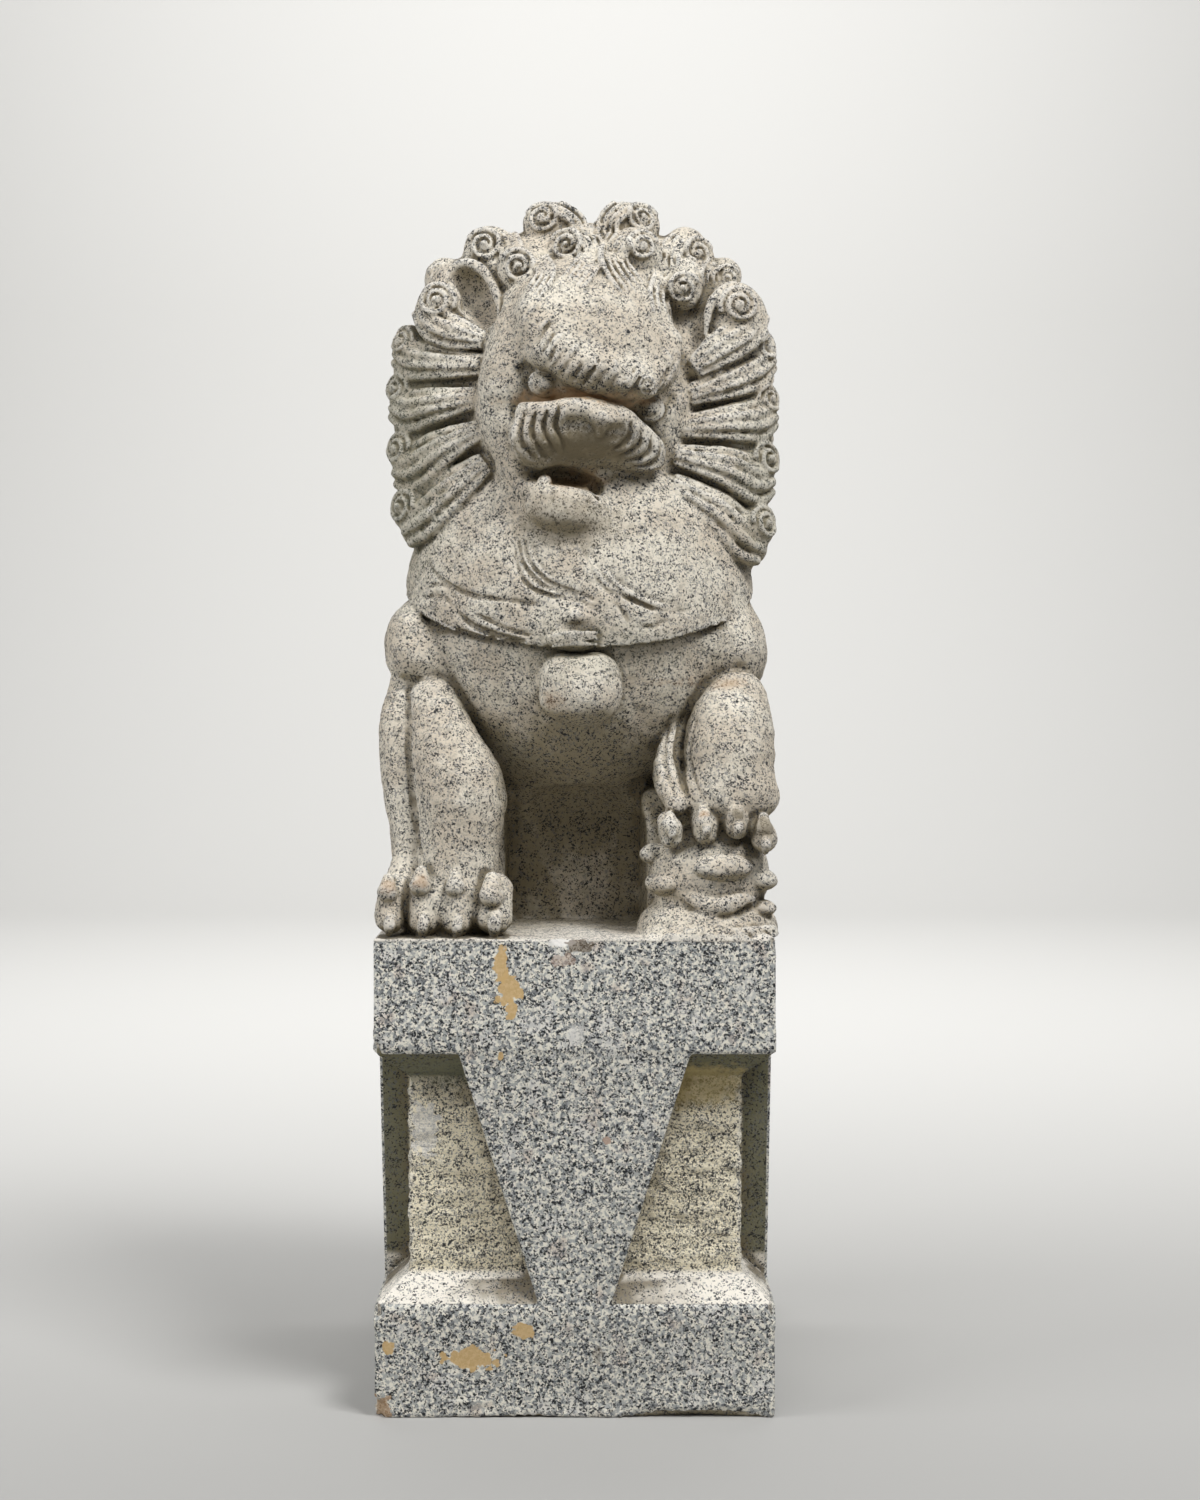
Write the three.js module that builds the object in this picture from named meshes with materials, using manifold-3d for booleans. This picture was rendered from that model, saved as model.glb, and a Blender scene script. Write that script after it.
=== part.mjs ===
// A guardian lion seated on its plinth, lion and plinth carved from one block of granite.
// Millimetres, +Z up. The origin is the middle of the plinth's underside, and the lion looks along -Y,
// so +X is on the right of someone who stands in front of it.
import * as THREE from "three";
import { mergeVertices } from "three/addons/utils/BufferGeometryUtils.js";
import Module from "manifold-3d";

const wasm = await Module();
wasm.setup();

// Driving dimensions of the block.
const WIDTH = 222;
const DEPTH = 250;
const HEIGHT = 686;
const PLINTH_TOP = 266.5;

// The plinth: a foot, a sloping set-back, a narrower waist and a slab with a sloping underside. A cloth hangs
// over each side. Those in front and behind come to a point, those on the flanks are broad.
const FOOT_HEIGHT = 62;
const SLAB_THICKNESS = 62.5;
const SET_BACK = 18;
const SET_BACK_RISE = 16;
const SOFFIT_DROP = 16;
const POINTED_CLOTH = { topHalf: 64.5, footHalf: 19 };
const BROAD_CLOTH = { topHalf: 92, footHalf: 60 };

// How far pieces of the carving are sunk into their neighbours.
const SINK = 4;

// Sides and rings of the round forms.
const FINE = [15, 9];
const MEDIUM = [9, 6];
const SMALL = [6, 5];

const FRONT = -DEPTH / 2;
const BACK = DEPTH / 2;
const UP = new THREE.Vector3(0, 0, 1);
const AHEAD = new THREE.Vector3(0, -1, 0);

const vec = (p) => new THREE.Vector3(...p);

// A closed three.js geometry as a solid.
function solid(geometry) {
  const bare = geometry.clone();
  bare.deleteAttribute("normal");
  bare.deleteAttribute("uv");
  const merged = mergeVertices(bare, 1e-4);
  return new wasm.Manifold(
    new wasm.Mesh({
      numProp: 3,
      vertProperties: new Float32Array(merged.attributes.position.array),
      triVerts: new Uint32Array(merged.index.array),
    }),
  );
}

function join(solids) {
  return solids.reduce((whole, next) => whole.add(next));
}

// Every vertex of a geometry moved by a function of its place.
function bend(geometry, place) {
  const points = geometry.attributes.position;
  const p = new THREE.Vector3();
  for (let i = 0; i < points.count; i++) {
    p.fromBufferAttribute(points, i);
    const moved = place(p);
    points.setXYZ(i, moved.x, moved.y, moved.z);
  }
  return geometry;
}

const turnOf = (tilt) =>
  new THREE.Quaternion().setFromEuler(new THREE.Euler(...tilt.map(THREE.MathUtils.degToRad), "ZYX"));

// An ellipsoid. Tilt is in degrees about X, then Y, then Z, and frame is the place of a turned group.
function blob(at, radii, { tilt = [0, 0, 0], mesh = MEDIUM, frame = null } = {}) {
  const geometry = new THREE.SphereGeometry(1, ...mesh).rotateX(Math.PI / 2).scale(...radii);
  geometry.applyQuaternion(turnOf(tilt)).translate(...at);
  return solid(frame ? geometry.applyMatrix4(frame) : geometry);
}

// Forms for the blended shapes: each gives the distance from a point to its surface, less than 0 inside.
function roundForm(at, radii, tilt = [0, 0, 0]) {
  const [middle, size] = [vec(at), vec(radii)];
  const back = turnOf(tilt).invert();
  return (p) => {
    const q = p.clone().sub(middle).applyQuaternion(back).divide(size);
    const share = q.length();
    return (share * (share - 1)) / Math.max(q.divide(size).length(), 1e-9);
  };
}

function limbForm(route, radii) {
  const points = route.map(vec);
  const near = new THREE.Vector3();
  return (p) => {
    const reach = points.slice(1).map((to, i) => {
      const bone = new THREE.Line3(points[i], to);
      const t = bone.closestPointToPointParameter(p, true);
      return bone.at(t, near).distanceTo(p) - THREE.MathUtils.lerp(radii[i], radii[i + 1], t);
    });
    return Math.min(...reach);
  };
}

// Two distances joined softly: the seam is filled over a breadth of about `soft`.
function softer(a, b, soft) {
  const h = Math.max(soft - Math.abs(a - b), 0) / soft;
  return Math.min(a, b) - (h * h * soft) / 4;
}

// One field from many forms, with hollows cut out of it.
function blended(forms, soft, hollows = []) {
  return (p) => {
    const raised = forms.map((form) => form(p)).reduce((a, b) => softer(a, b, soft));
    return hollows.reduce((d, hollow) => -softer(-d, hollow(p), soft / 2), raised);
  };
}

// How far from a point the surface of a field lies in one direction, looked for from outside.
const STRIDE = 1.5;
const HALVINGS = 8;
function reachOf(field, from, direction, farthest) {
  let outside = farthest;
  while (outside > STRIDE && field(from.clone().addScaledVector(direction, outside)) > 0) outside -= STRIDE;
  let inside = outside;
  outside += STRIDE;
  for (let i = 0; i < HALVINGS; i++) {
    const middle = (inside + outside) / 2;
    if (field(from.clone().addScaledVector(direction, middle)) > 0) outside = middle;
    else inside = middle;
  }
  return inside;
}

// A sphere's net drawn tight over a field. Its pole faces `pole`, and crowd above 1 draws rings towards it.
function wrapped(field, from, farthest, mesh, { pole = AHEAD, crowd = 1, frame = null } = {}) {
  const start = vec(from);
  const turn = new THREE.Quaternion().setFromUnitVectors(new THREE.Vector3(0, 1, 0), pole);
  const geometry = bend(new THREE.SphereGeometry(1, ...mesh), (p) => {
    const ring = Math.acos(THREE.MathUtils.clamp(p.y, -1, 1)) / Math.PI;
    const angle = Math.PI * ring ** crowd;
    const around = Math.hypot(p.x, p.z);
    const wide = around > 1e-6 ? Math.sin(angle) / around : 0;
    const direction = new THREE.Vector3(p.x * wide, Math.cos(angle), p.z * wide).applyQuaternion(turn).normalize();
    return start.clone().addScaledVector(direction, reachOf(field, start, direction, farthest));
  });
  return solid(frame ? geometry.applyMatrix4(frame) : geometry);
}

// The value at t of a list spread evenly from 0 to 1.
function along(list, t) {
  const place = t * (list.length - 1);
  const i = Math.min(Math.floor(place), list.length - 2);
  return THREE.MathUtils.lerp(list[i], list[i + 1], place - i);
}

// A tube along a smooth curve. Its section is turned by `lift`, and radiusAt(t, direction, point, edge)
// gives its size at each vertex.
function tube(route, sides, steps, lift, radiusAt) {
  const curve = new THREE.CatmullRomCurve3(route.map(vec), false, "centripetal");
  return bend(new THREE.CylinderGeometry(1, 1, 1, sides, steps), (p) => {
    const t = THREE.MathUtils.clamp(p.y + 0.5, 0, 1);
    const middle = curve.getPoint(t);
    const size = Math.hypot(p.x, p.z);
    if (size < 1e-6) return middle;
    const tangent = curve.getTangent(t);
    const side = tangent.clone().cross(lift).normalize();
    const out = side.clone().cross(tangent);
    const direction = side.multiplyScalar(p.x).addScaledVector(out, p.z);
    const edge = Math.round((Math.atan2(p.x, p.z) / (2 * Math.PI)) * sides);
    return middle.clone().addScaledVector(direction, radiusAt(t, direction, middle, edge));
  });
}

// A limb or lock: a round section drawn along a curve, its ends rounded in to endShare of their size.
// Flutes cut every second edge of the section back on the side that faces `lift`.
const FLUTE_DEPTH = 0.26;
function sweep(route, radii, options = {}) {
  const { sides = 8, steps = 4, lift = AHEAD, flutes = false, endShare = 0.5, frame = null } = options;
  const geometry = tube(route, sides, steps, lift, (t, direction, middle, edge) => {
    const atEnd = t < 1e-6 || t > 1 - 1e-6;
    const cut = flutes && edge % 2 ? 1 - FLUTE_DEPTH : 1;
    return along(radii, t) * (atEnd ? endShare : 1) * cut;
  });
  return solid(frame ? geometry.applyMatrix4(frame) : geometry);
}

// A limb whose skin is drawn tight over a field.
function limb(route, field, farthest, sides, steps) {
  return solid(
    tube(route, sides, steps, AHEAD, (t, direction, middle) => reachOf(field, middle, direction, farthest)),
  );
}

// A snail curl: a low dome with one turned groove round a central boss, facing `toward`.
const CURL_HEIGHT = 0.75;
const CURL_SIDES = 6;
function curl(at, radius, toward) {
  const height = radius * CURL_HEIGHT;
  const profile = [
    [0, -height],
    [radius, -0.4 * height],
    [0.82 * radius, 0.55 * height],
    [0.4 * radius, 0.72 * height],
    [0, height],
  ].map((p) => new THREE.Vector2(...p));
  const geometry = new THREE.LatheGeometry(profile, CURL_SIDES);
  const turn = new THREE.Quaternion().setFromUnitVectors(new THREE.Vector3(0, 1, 0), toward.clone().normalize());
  return solid(geometry.applyQuaternion(turn).translate(...at));
}

// A block whose top is a smaller rectangle than its foot.
function taperedBlock([footWidth, footDepth], [topWidth, topDepth], low, high) {
  const geometry = bend(new THREE.BoxGeometry(1, 1, 1), (p) => {
    const [w, d] = p.z < 0 ? [footWidth, footDepth] : [topWidth, topDepth];
    return new THREE.Vector3(p.x * w, p.y * d, p.z < 0 ? low : high);
  });
  return solid(geometry);
}

function block(from, to) {
  const size = to.map((v, i) => v - from[i]);
  const middle = to.map((v, i) => (v + from[i]) / 2);
  return solid(new THREE.BoxGeometry(...size).translate(...middle));
}

// The cloth that hangs over one side of the plinth, flush with the slab and the foot.
function cloth(quarterTurns) {
  const onFlank = quarterTurns % 2 === 1;
  const reach = (onFlank ? WIDTH : DEPTH) / 2;
  const { topHalf, footHalf } = onFlank ? BROAD_CLOTH : POINTED_CLOTH;
  const slabFoot = PLINTH_TOP - SLAB_THICKNESS + SINK;
  const outline = new THREE.Shape([
    new THREE.Vector2(-topHalf, slabFoot),
    new THREE.Vector2(-footHalf, FOOT_HEIGHT - SINK),
    new THREE.Vector2(footHalf, FOOT_HEIGHT - SINK),
    new THREE.Vector2(topHalf, slabFoot),
  ]);
  const depth = SET_BACK + SINK;
  const geometry = new THREE.ExtrudeGeometry(outline, { depth, bevelEnabled: false });
  geometry.rotateX(Math.PI / 2).translate(0, -reach + depth, 0);
  return solid(geometry.rotateZ((quarterTurns * Math.PI) / 2));
}

// Chips and broken arrises of the plinth: where each bite is and how big.
const BITES = [
  { at: [-5, FRONT - 1, PLINTH_TOP + 1], size: [9, 5, 4] },
  { at: [66, FRONT - 3, -1], size: [46, 8, 6.5] },
  { at: [-WIDTH / 2 - 2, FRONT - 2, 2], size: [8, 9, 12] },
  { at: [WIDTH / 2 + 2, 30, -2], size: [8, 60, 6] },
];

function plinth() {
  const foot = block([-WIDTH / 2, FRONT, 0], [WIDTH / 2, BACK, FOOT_HEIGHT]);
  const waistSize = [WIDTH - 2 * SET_BACK, DEPTH - 2 * SET_BACK];
  const shoulder = taperedBlock([WIDTH, DEPTH], waistSize, FOOT_HEIGHT, FOOT_HEIGHT + SET_BACK_RISE);
  const slabFoot = PLINTH_TOP - SLAB_THICKNESS;
  const waist = taperedBlock(waistSize, waistSize, FOOT_HEIGHT, slabFoot + SINK);
  const soffit = taperedBlock(waistSize, [WIDTH, DEPTH], slabFoot - SOFFIT_DROP, slabFoot);
  const slab = block([-WIDTH / 2, FRONT, slabFoot], [WIDTH / 2, BACK, PLINTH_TOP]);
  const cloths = [0, 1, 2, 3].map(cloth);
  const bites = BITES.map(({ at, size }) => blob(at, size, { mesh: SMALL }));
  return join([foot, shoulder, waist, soffit, slab, ...cloths]).subtract(join(bites));
}

// The plane of the collar's lower edge: its height at the front of the chest, and its rise to the back.
const COLLAR_FRONT = -108;
const COLLAR_HEIGHT = 427;
const COLLAR_RISE = 0.56;
const CHEST = { at: [2, -42, 450], radii: [98, 64, 105] };
const BIB_PROUD = 2.5;
const UNDER_BIB = 1.5;
const NICHE_BACK = -16;
const CORE_HALF = 84;

// Chest, barrel, rump, shoulders and haunches under one skin, and the core that joins them to the plinth.
const BODY_FROM = [0, 10, 400];
const BODY_MESH = [20, 14];
const SHOULDER = { at: [90, -54, 426], radii: [24, 38, 31] };
const HAUNCH = { at: [76, 50, 342], radii: [34, 62, 64], tilt: [24, 0, 0] };
const KNEE = { at: [84, 4, 318], radii: [25, 34, 42], tilt: [-20, 0, 0] };
function trunk() {
  const bothSides = ({ at: [x, y, z], radii, tilt }) => [
    roundForm([x, y, z], radii, tilt),
    roundForm([-x, y, z], radii, tilt),
  ];
  const chest = roundForm(CHEST.at, CHEST.radii);
  const body = blended(
    [
      (p) => chest(p) + UNDER_BIB,
      roundForm([0, 16, 404], [86, 78, 94], [-14, 0, 0]),
      roundForm([0, 52, 336], [88, 66, 84]),
      ...[HAUNCH, KNEE].flatMap(bothSides),
    ],
    12,
  );
  const reach = 2 * HEIGHT;
  const below = new THREE.BoxGeometry(reach, reach, reach).translate(0, 0, -reach / 2);
  below.rotateX(Math.atan(COLLAR_RISE)).translate(0, COLLAR_FRONT, COLLAR_HEIGHT);
  const bib = wrapped((p) => chest(p) - BIB_PROUD, CHEST.at, HEIGHT / 3, FINE).subtract(solid(below));
  const torso = join([
    wrapped(body, BODY_FROM, HEIGHT / 3, BODY_MESH),
    bib,
    ...[-1, 1].map((side) => blob([side * SHOULDER.at[0], SHOULDER.at[1], SHOULDER.at[2]], SHOULDER.radii)),
    block([-CORE_HALF, NICHE_BACK, PLINTH_TOP - SINK], [CORE_HALF, 100, 380]),
    ...[-1, 1].map((side) => block([side * 62 - 24, -66, PLINTH_TOP - SINK], [side * 62 + 21, 4, 346])),
  ]);
  return torso.subtract(niche());
}

// The arched space between the forelegs.
const NICHE = { left: -39, right: 41, spring: 322, top: 356 };
function niche() {
  const { left, right, spring, top } = NICHE;
  const foot = PLINTH_TOP - 2 * SINK;
  const arch = new THREE.Shape();
  arch.moveTo(left, foot);
  arch.lineTo(right, foot);
  arch.lineTo(right, spring);
  arch.quadraticCurveTo(right, top, (left + right) / 2, top);
  arch.quadraticCurveTo(left, top, left, spring);
  const depth = NICHE_BACK - FRONT + SINK;
  const geometry = new THREE.ExtrudeGeometry(arch, { depth, bevelEnabled: false, curveSegments: 5 });
  return solid(geometry.rotateX(Math.PI / 2).translate(0, NICHE_BACK, 0));
}

// The hind paw along the plinth's edge.
const HIND_TOES = [-13, 0, 13];
function hindPaw(side) {
  return join([
    sweep([[side * 86, 44, 280], [side * 87, 6, 280], [side * 88, -36, 278]], [20, 19, 17], { steps: 2 }),
    ...HIND_TOES.map((shift) => blob([side * 88 + shift, -44, 279], [8, 12, 10], { mesh: [6, 4] })),
  ]);
}

// The foreleg that stands on the plinth: a column, a tuft down its outer edge, and the paw.
const LEG_SOFT = 7;
const LEG_SIDES = 12;
const STANDING_TOES = [-102, -82, -62, -44];
function standingLeg() {
  const column = [[-78, -60, 436], [-74, -78, 400], [-69, -86, 350], [-70, -87, 314], [-72, -88, 270]];
  const skin = blended([limbForm(column, [18, 25, 28, 24, 26]), roundForm([-74, -92, 282], [37, 26, 18])], LEG_SOFT);
  return join([
    limb(column, skin, 60, LEG_SIDES, 8),
    sweep(
      [[-96, -62, 420], [-100, -70, 380], [-98, -76, 338], [-94, -84, 308], [-98, -94, 284]],
      [9, 12, 12, 9, 10],
      { sides: 7, steps: 6 },
    ),
    ...STANDING_TOES.map((x) => toe([x * 0.95, -94, 293], [x, -108, 289], [x, -113, 276])),
  ]);
}

// A toe, and the claw that hooks out of it.
const TOE = [8, 10.5, 8];
const CLAW = 3.6;
function toe(root, knuckle, tip) {
  const claw = [tip, [tip[0], tip[1] - 6, tip[2] - 2], [tip[0], tip[1] - 6, tip[2] - 8]];
  return join([
    sweep([root, knuckle, tip], TOE, { sides: 7, steps: 2, endShare: 0.8 }),
    sweep(claw, [CLAW, CLAW, CLAW / 2], { sides: 4, steps: 2 }),
  ]);
}

// The foreleg whose paw rests on the ball, with a tuft inside it that ends in a toe of its own.
const RAISED_TOES = [59, 75, 91, 106];
function raisedLeg() {
  const column = [[84, -60, 436], [88, -80, 398], [88, -88, 366], [89, -92, 324]];
  const skin = blended([limbForm(column, [18, 25, 24, 20]), roundForm([85, -97, 333], [28, 19, 13])], LEG_SOFT);
  return join([
    limb(column, skin, 50, LEG_SIDES, 6),
    sweep([[58, -66, 388], [53, -77, 364], [56, -90, 350], [60, -102, 338]], [7, 9.5, 8.5, 9], { sides: 7 }),
    ...RAISED_TOES.map((x) => toe([x, -98, 337], [x, -110, 334], [x, -114, 325])),
  ]);
}

// The ball under the raised paw: bosses round its middle, a band below them and ribbons down to the plinth.
const BALL = { at: [76, -86, 298], radii: [33, 30, 31] };
const BOSS_TURNS = [-80, -8, 64];
const RIBBON_TURNS = [-54, -18, 18, 54];
function ball() {
  const [x, y, z] = BALL.at;
  const around = (degrees, reach, height) => {
    const a = THREE.MathUtils.degToRad(degrees);
    return [x + reach * Math.sin(a), y - reach * Math.cos(a), height];
  };
  const band = RIBBON_TURNS.map((degrees) => around(degrees, 28, z - 11));
  const ribbon = (degrees) =>
    sweep([around(degrees, 25, z - 14), around(degrees, 33, z - 24), around(degrees * 1.1, 39, PLINTH_TOP)], [6, 7, 6], {
      sides: 5,
      steps: 2,
    });
  return join([
    blob(BALL.at, BALL.radii),
    ...BOSS_TURNS.map((degrees) =>
      blob(around(degrees, 26, z + 4), [15, 10, 8], { tilt: [0, 0, degrees], mesh: SMALL }),
    ),
    sweep(band, band.map(() => 6), { sides: 5, lift: UP }),
    blob([x, y + 2, PLINTH_TOP + 3], [37, 34, 15], { mesh: SMALL }),
    ...RIBBON_TURNS.map(ribbon),
  ]);
}

// The bell on the collar and the knot it hangs from.
function bell() {
  return join([
    blob([3, -106, 406], [23, 17, 19.5]),
    sweep([[-17, -106, 426], [-4, -110, 431], [12, -108, 432]], [5, 6, 5], { sides: 7, steps: 4 }),
    sweep([[3, -106, 436], [3, -109, 424]], [6, 6], { sides: 7, steps: 2, lift: AHEAD }),
  ]);
}

// The head's own frame: its origin is between the eyes, u to the viewer's right, v up and w out of the face.
// The head is turned to the viewer's right, rolled the same way and dipped.
const HEAD_AT = [11.5, -105, 567];
const HEAD_TURN = 14;
const HEAD_ROLL = 11;
const HEAD_DIP = 5;
function headFrame() {
  const [dip, roll, turn] = [HEAD_DIP, HEAD_ROLL, HEAD_TURN].map(THREE.MathUtils.degToRad);
  // Columns are where u, v and w point before the head is turned.
  const upright = new THREE.Matrix4().makeBasis(new THREE.Vector3(1, 0, 0), UP, AHEAD);
  return new THREE.Matrix4()
    .makeTranslation(...HEAD_AT)
    .multiply(new THREE.Matrix4().makeRotationZ(turn))
    .multiply(new THREE.Matrix4().makeRotationY(roll))
    .multiply(new THREE.Matrix4().makeRotationX(dip))
    .multiply(upright);
}

const HEAD_FROM = [0, -4, -42];
const HEAD_MESH = [24, 17];
const BROW = [[-48, 36, -16], [-36, 26, -4], [-18, 17, 8], [0, 14, 13], [20, 17, 10], [35, 24, 0], [43, 36, -14]];
const BROW_SIZES = [7, 9, 10, 10, 10, 9, 7];
const MUZZLE = [[-33, -22, -16], [-20, -17, 0], [0, -16, 6], [18, -17, 2], [35, -21, -14]];
const MUZZLE_SIZES = [12, 15, 16, 15, 11];
const WHISKERS = [0.3, 1.5, 2.7];
function head() {
  const frame = headFrame();
  const pair = (make) => [-1, 1].flatMap(make);
  const skin = blended(
    [
      roundForm([-2, 30, -54], [59, 60, 60]),
      roundForm([-2, 38, -20], [45, 34, 32]),
      roundForm([0, -18, -42], [56, 50, 40]),
      limbForm(BROW, BROW_SIZES),
      limbForm(MUZZLE, MUZZLE_SIZES),
      roundForm([3, -14, 18], [9, 8, 7]),
      roundForm([-3, -60, -16], [27, 13, 24]),
      ...pair((s) => [
        roundForm([s * 45, 0, -30], [17, 32, 22]),
        limbForm([[s * 38, -28, -18], [s * 28, -58, -12]], [10, 8]),
      ]),
    ],
    6,
    pair((s) => roundForm([s * 30, 0, 6], [9, 8, 12])),
  );
  const whisker = (s, i) =>
    sweep(
      [[s * (15 + 6 * i), -9 - 2 * i, 17 - 4 * i], [s * (17 + 7 * i), -22, 18 - 5 * i], [s * (11 + 7 * i), -34, 9 - 4 * i]],
      [2.5, 4.5, 3],
      { frame, lift: UP, sides: 4, steps: 2 },
    );
  const face = wrapped(skin, HEAD_FROM, HEIGHT / 5, HEAD_MESH, { pole: UP, crowd: 1.25, frame });
  const mouth = blob([-3, -46, 2], [20, 8, 24], { frame });
  return join([
    face.subtract(mouth),
    ...pair((s) => [
      blob([s * 30, 0, -4], [7.5, 7, 8], { frame, mesh: SMALL }),
      blob([s * 15 - 3, -53, -4], [4, 7, 6], { frame, mesh: [5, 4] }),
      ...WHISKERS.map((i) => whisker(s, i)),
    ]),
  ]);
}

// An ear: a cupped leaf. At is its middle, and lean tilts its top out to the side.
function ear(at, lean) {
  const shell = blob(at, [17, 13, 25], { tilt: [0, lean, 0] });
  const hollow = blob([at[0], at[1] - 11, at[2] - 1], [11, 11, 18], { tilt: [0, lean, 0], mesh: SMALL });
  return shell.subtract(hollow);
}

// Fluted locks of the mane that fan out round the face, from the cheek to the snail curl at the tip.
// Route runs from the root, half is half the lock's breadth at root and tip, and curlAt is the curl's middle.
const LOCKS = [
  { route: [[70, -72, 593], [83, -68, 606], [98, -58, 618]], half: [7, 12, 10], curlAt: [95, -62, 627], size: 13 },
  { route: [[66, -74, 574], [92, -64, 580], [109, -52, 588]], half: [7, 10, 10], curlAt: [108, -52, 600], size: 8 },
  { route: [[63, -76, 555], [92, -66, 562], [111, -52, 563]], half: [8, 10, 9], curlAt: [112, -50, 573], size: 7 },
  { route: [[60, -78, 539], [86, -68, 535], [108, -54, 524]], half: [9, 11, 10], curlAt: [110, -53, 536], size: 9 },
  { route: [[56, -80, 524], [78, -74, 507], [100, -60, 486]], half: [9, 14, 14], curlAt: [106, -61, 498], size: 10 },
  { route: [[-54, -70, 606], [-68, -66, 615], [-85, -58, 624]], half: [7, 11, 9], curlAt: [-80, -62, 631], size: 11 },
  { route: [[-60, -74, 588], [-80, -66, 594], [-98, -53, 597]], half: [7, 9, 8], curlAt: [-95, -54, 606], size: 7 },
  { route: [[-64, -75, 567], [-84, -66, 569], [-101, -53, 570]], half: [8, 10, 9], curlAt: [-101, -52, 581], size: 7 },
  { route: [[-64, -74, 550], [-83, -63, 540], [-101, -50, 531]], half: [8, 11, 11], curlAt: [-101, -54, 547], size: 9 },
  { route: [[-60, -80, 532], [-78, -72, 515], [-97, -60, 495]], half: [8, 13, 14], curlAt: [-99, -57, 510], size: 10 },
];

function lock({ route, half, curlAt, size }) {
  const outward = new THREE.Vector3(Math.sign(curlAt[0]) * 0.35, -1, 0);
  return join([
    sweep(route, half, { sides: 10, steps: 3, flutes: true, endShare: 0.85, lift: outward }),
    curl(curlAt, size, outward),
  ]);
}

// Snail curls over the brow and the crown, placed one by one as the front view shows them.
const CROWN_CURLS = [
  { at: [-32, -72, 650], size: 12 },
  { at: [-3, -76, 660], size: 12 },
  { at: [36, -70, 658], size: 14 },
  { at: [62, -70, 641], size: 12 },
  { at: [-50, -42, 662], size: 15 },
  { at: [-11, -40, 673], size: 18 },
  { at: [29, -40, 673], size: 17 },
  { at: [66, -42, 659], size: 14 },
  { at: [86, -42, 646], size: 10 },
  { at: [-74, -44, 646], size: 10 },
];

// The ruff is the round mass of hair behind the face, covered at the sides and back with rows of curls.
const RUFF = { at: [4, -24, 560], radii: [101, 63, 96] };
const CROWN = { at: [6, -32, 636], radii: [88, 46, 38] };
const CURL_ROWS = [
  { height: 58, turns: [106, 156, 204, 254] },
  { height: 6, turns: [104, 154, 206, 256] },
  { height: -46, turns: [112, 158, 202, 248] },
];
const ROW_CURL = 24;

function ruff() {
  const [x, y, z] = RUFF.at;
  const [a, b, c] = RUFF.radii;
  const place = (height, degrees) => {
    const turn = THREE.MathUtils.degToRad(degrees);
    const share = Math.sqrt(1 - (height / c) ** 2);
    const at = [x + a * share * Math.sin(turn), y - b * share * Math.cos(turn), z + height];
    const out = new THREE.Vector3((at[0] - x) / a ** 2, (at[1] - y) / b ** 2, height / c ** 2);
    return curl(at, ROW_CURL, out);
  };
  const rows = CURL_ROWS.flatMap(({ height, turns }) => turns.map((turn) => place(height, turn)));
  const crown = CROWN_CURLS.map(({ at, size }) =>
    curl(at, size, new THREE.Vector3(at[0] - x, at[1] - y, at[2] - z + 40)),
  );
  return join([blob(RUFF.at, RUFF.radii, { mesh: FINE }), blob(CROWN.at, CROWN.radii), ...rows, ...crown]);
}

// The ridge down the spine and the tail that lies up the back in a flame.
function tail() {
  const tuft = (shift) =>
    sweep([[0, 106, 330], [shift, 104, 372], [shift * 1.3, 92, 410], [shift * 0.4, 80, 446]], [10, 15, 12, 5], {
      sides: 6,
      lift: new THREE.Vector3(0, 1, 0),
    });
  return join([
    sweep([[0, 90, 420], [0, 70, 470], [0, 48, 500]], [9, 9, 7], { sides: 6, steps: 3 }),
    sweep([[26, 98, 282], [8, 108, 292], [0, 110, 330]], [13, 14, 13], { sides: 6, steps: 3 }),
    ...[-17, 0, 17].map(tuft),
  ]);
}

function lion() {
  const parts = [
    trunk(),
    ...[-1, 1].map(hindPaw),
    standingLeg(),
    raisedLeg(),
    ball(),
    bell(),
    ruff(),
    head(),
    ear([-60, -60, 631], -22),
    ear([80, -58, 620], 24),
    ...LOCKS.map(lock),
    tail(),
  ];
  const aboveBed = block([-WIDTH, -DEPTH, PLINTH_TOP - SINK], [WIDTH, DEPTH, 2 * HEIGHT]);
  return join(parts).intersect(aboveBed);
}

function meshOf(name, made, material) {
  const { vertProperties, triVerts } = made.getMesh();
  const geometry = new THREE.BufferGeometry();
  geometry.setAttribute("position", new THREE.BufferAttribute(vertProperties, 3));
  geometry.setIndex(new THREE.BufferAttribute(triVerts, 1));
  geometry.computeVertexNormals();
  const mesh = new THREE.Mesh(geometry, material);
  mesh.name = name;
  return mesh;
}

const granite = new THREE.MeshStandardMaterial({ color: 0xb5b0a4, roughness: 0.85, metalness: 0 });

const statue = new THREE.Group();
statue.add(meshOf("guardian_lion", join([plinth(), lion()]), granite));

export default statue;
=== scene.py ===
"""A guardian lion on its plinth, carved from one block of speckled granite.

The block is built as a distance field in millimetres: forms are added to it and carved out of it,
the way a mason rounds a figure and then cuts its hair. The skin of the field becomes one mesh.
The lion looks along -Y, +Z is up, and +X is on the right of someone who stands in front of it.
"""

import logging
import math
from dataclasses import dataclass, field
from enum import Enum
from typing import Iterable, Protocol, Sequence

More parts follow.
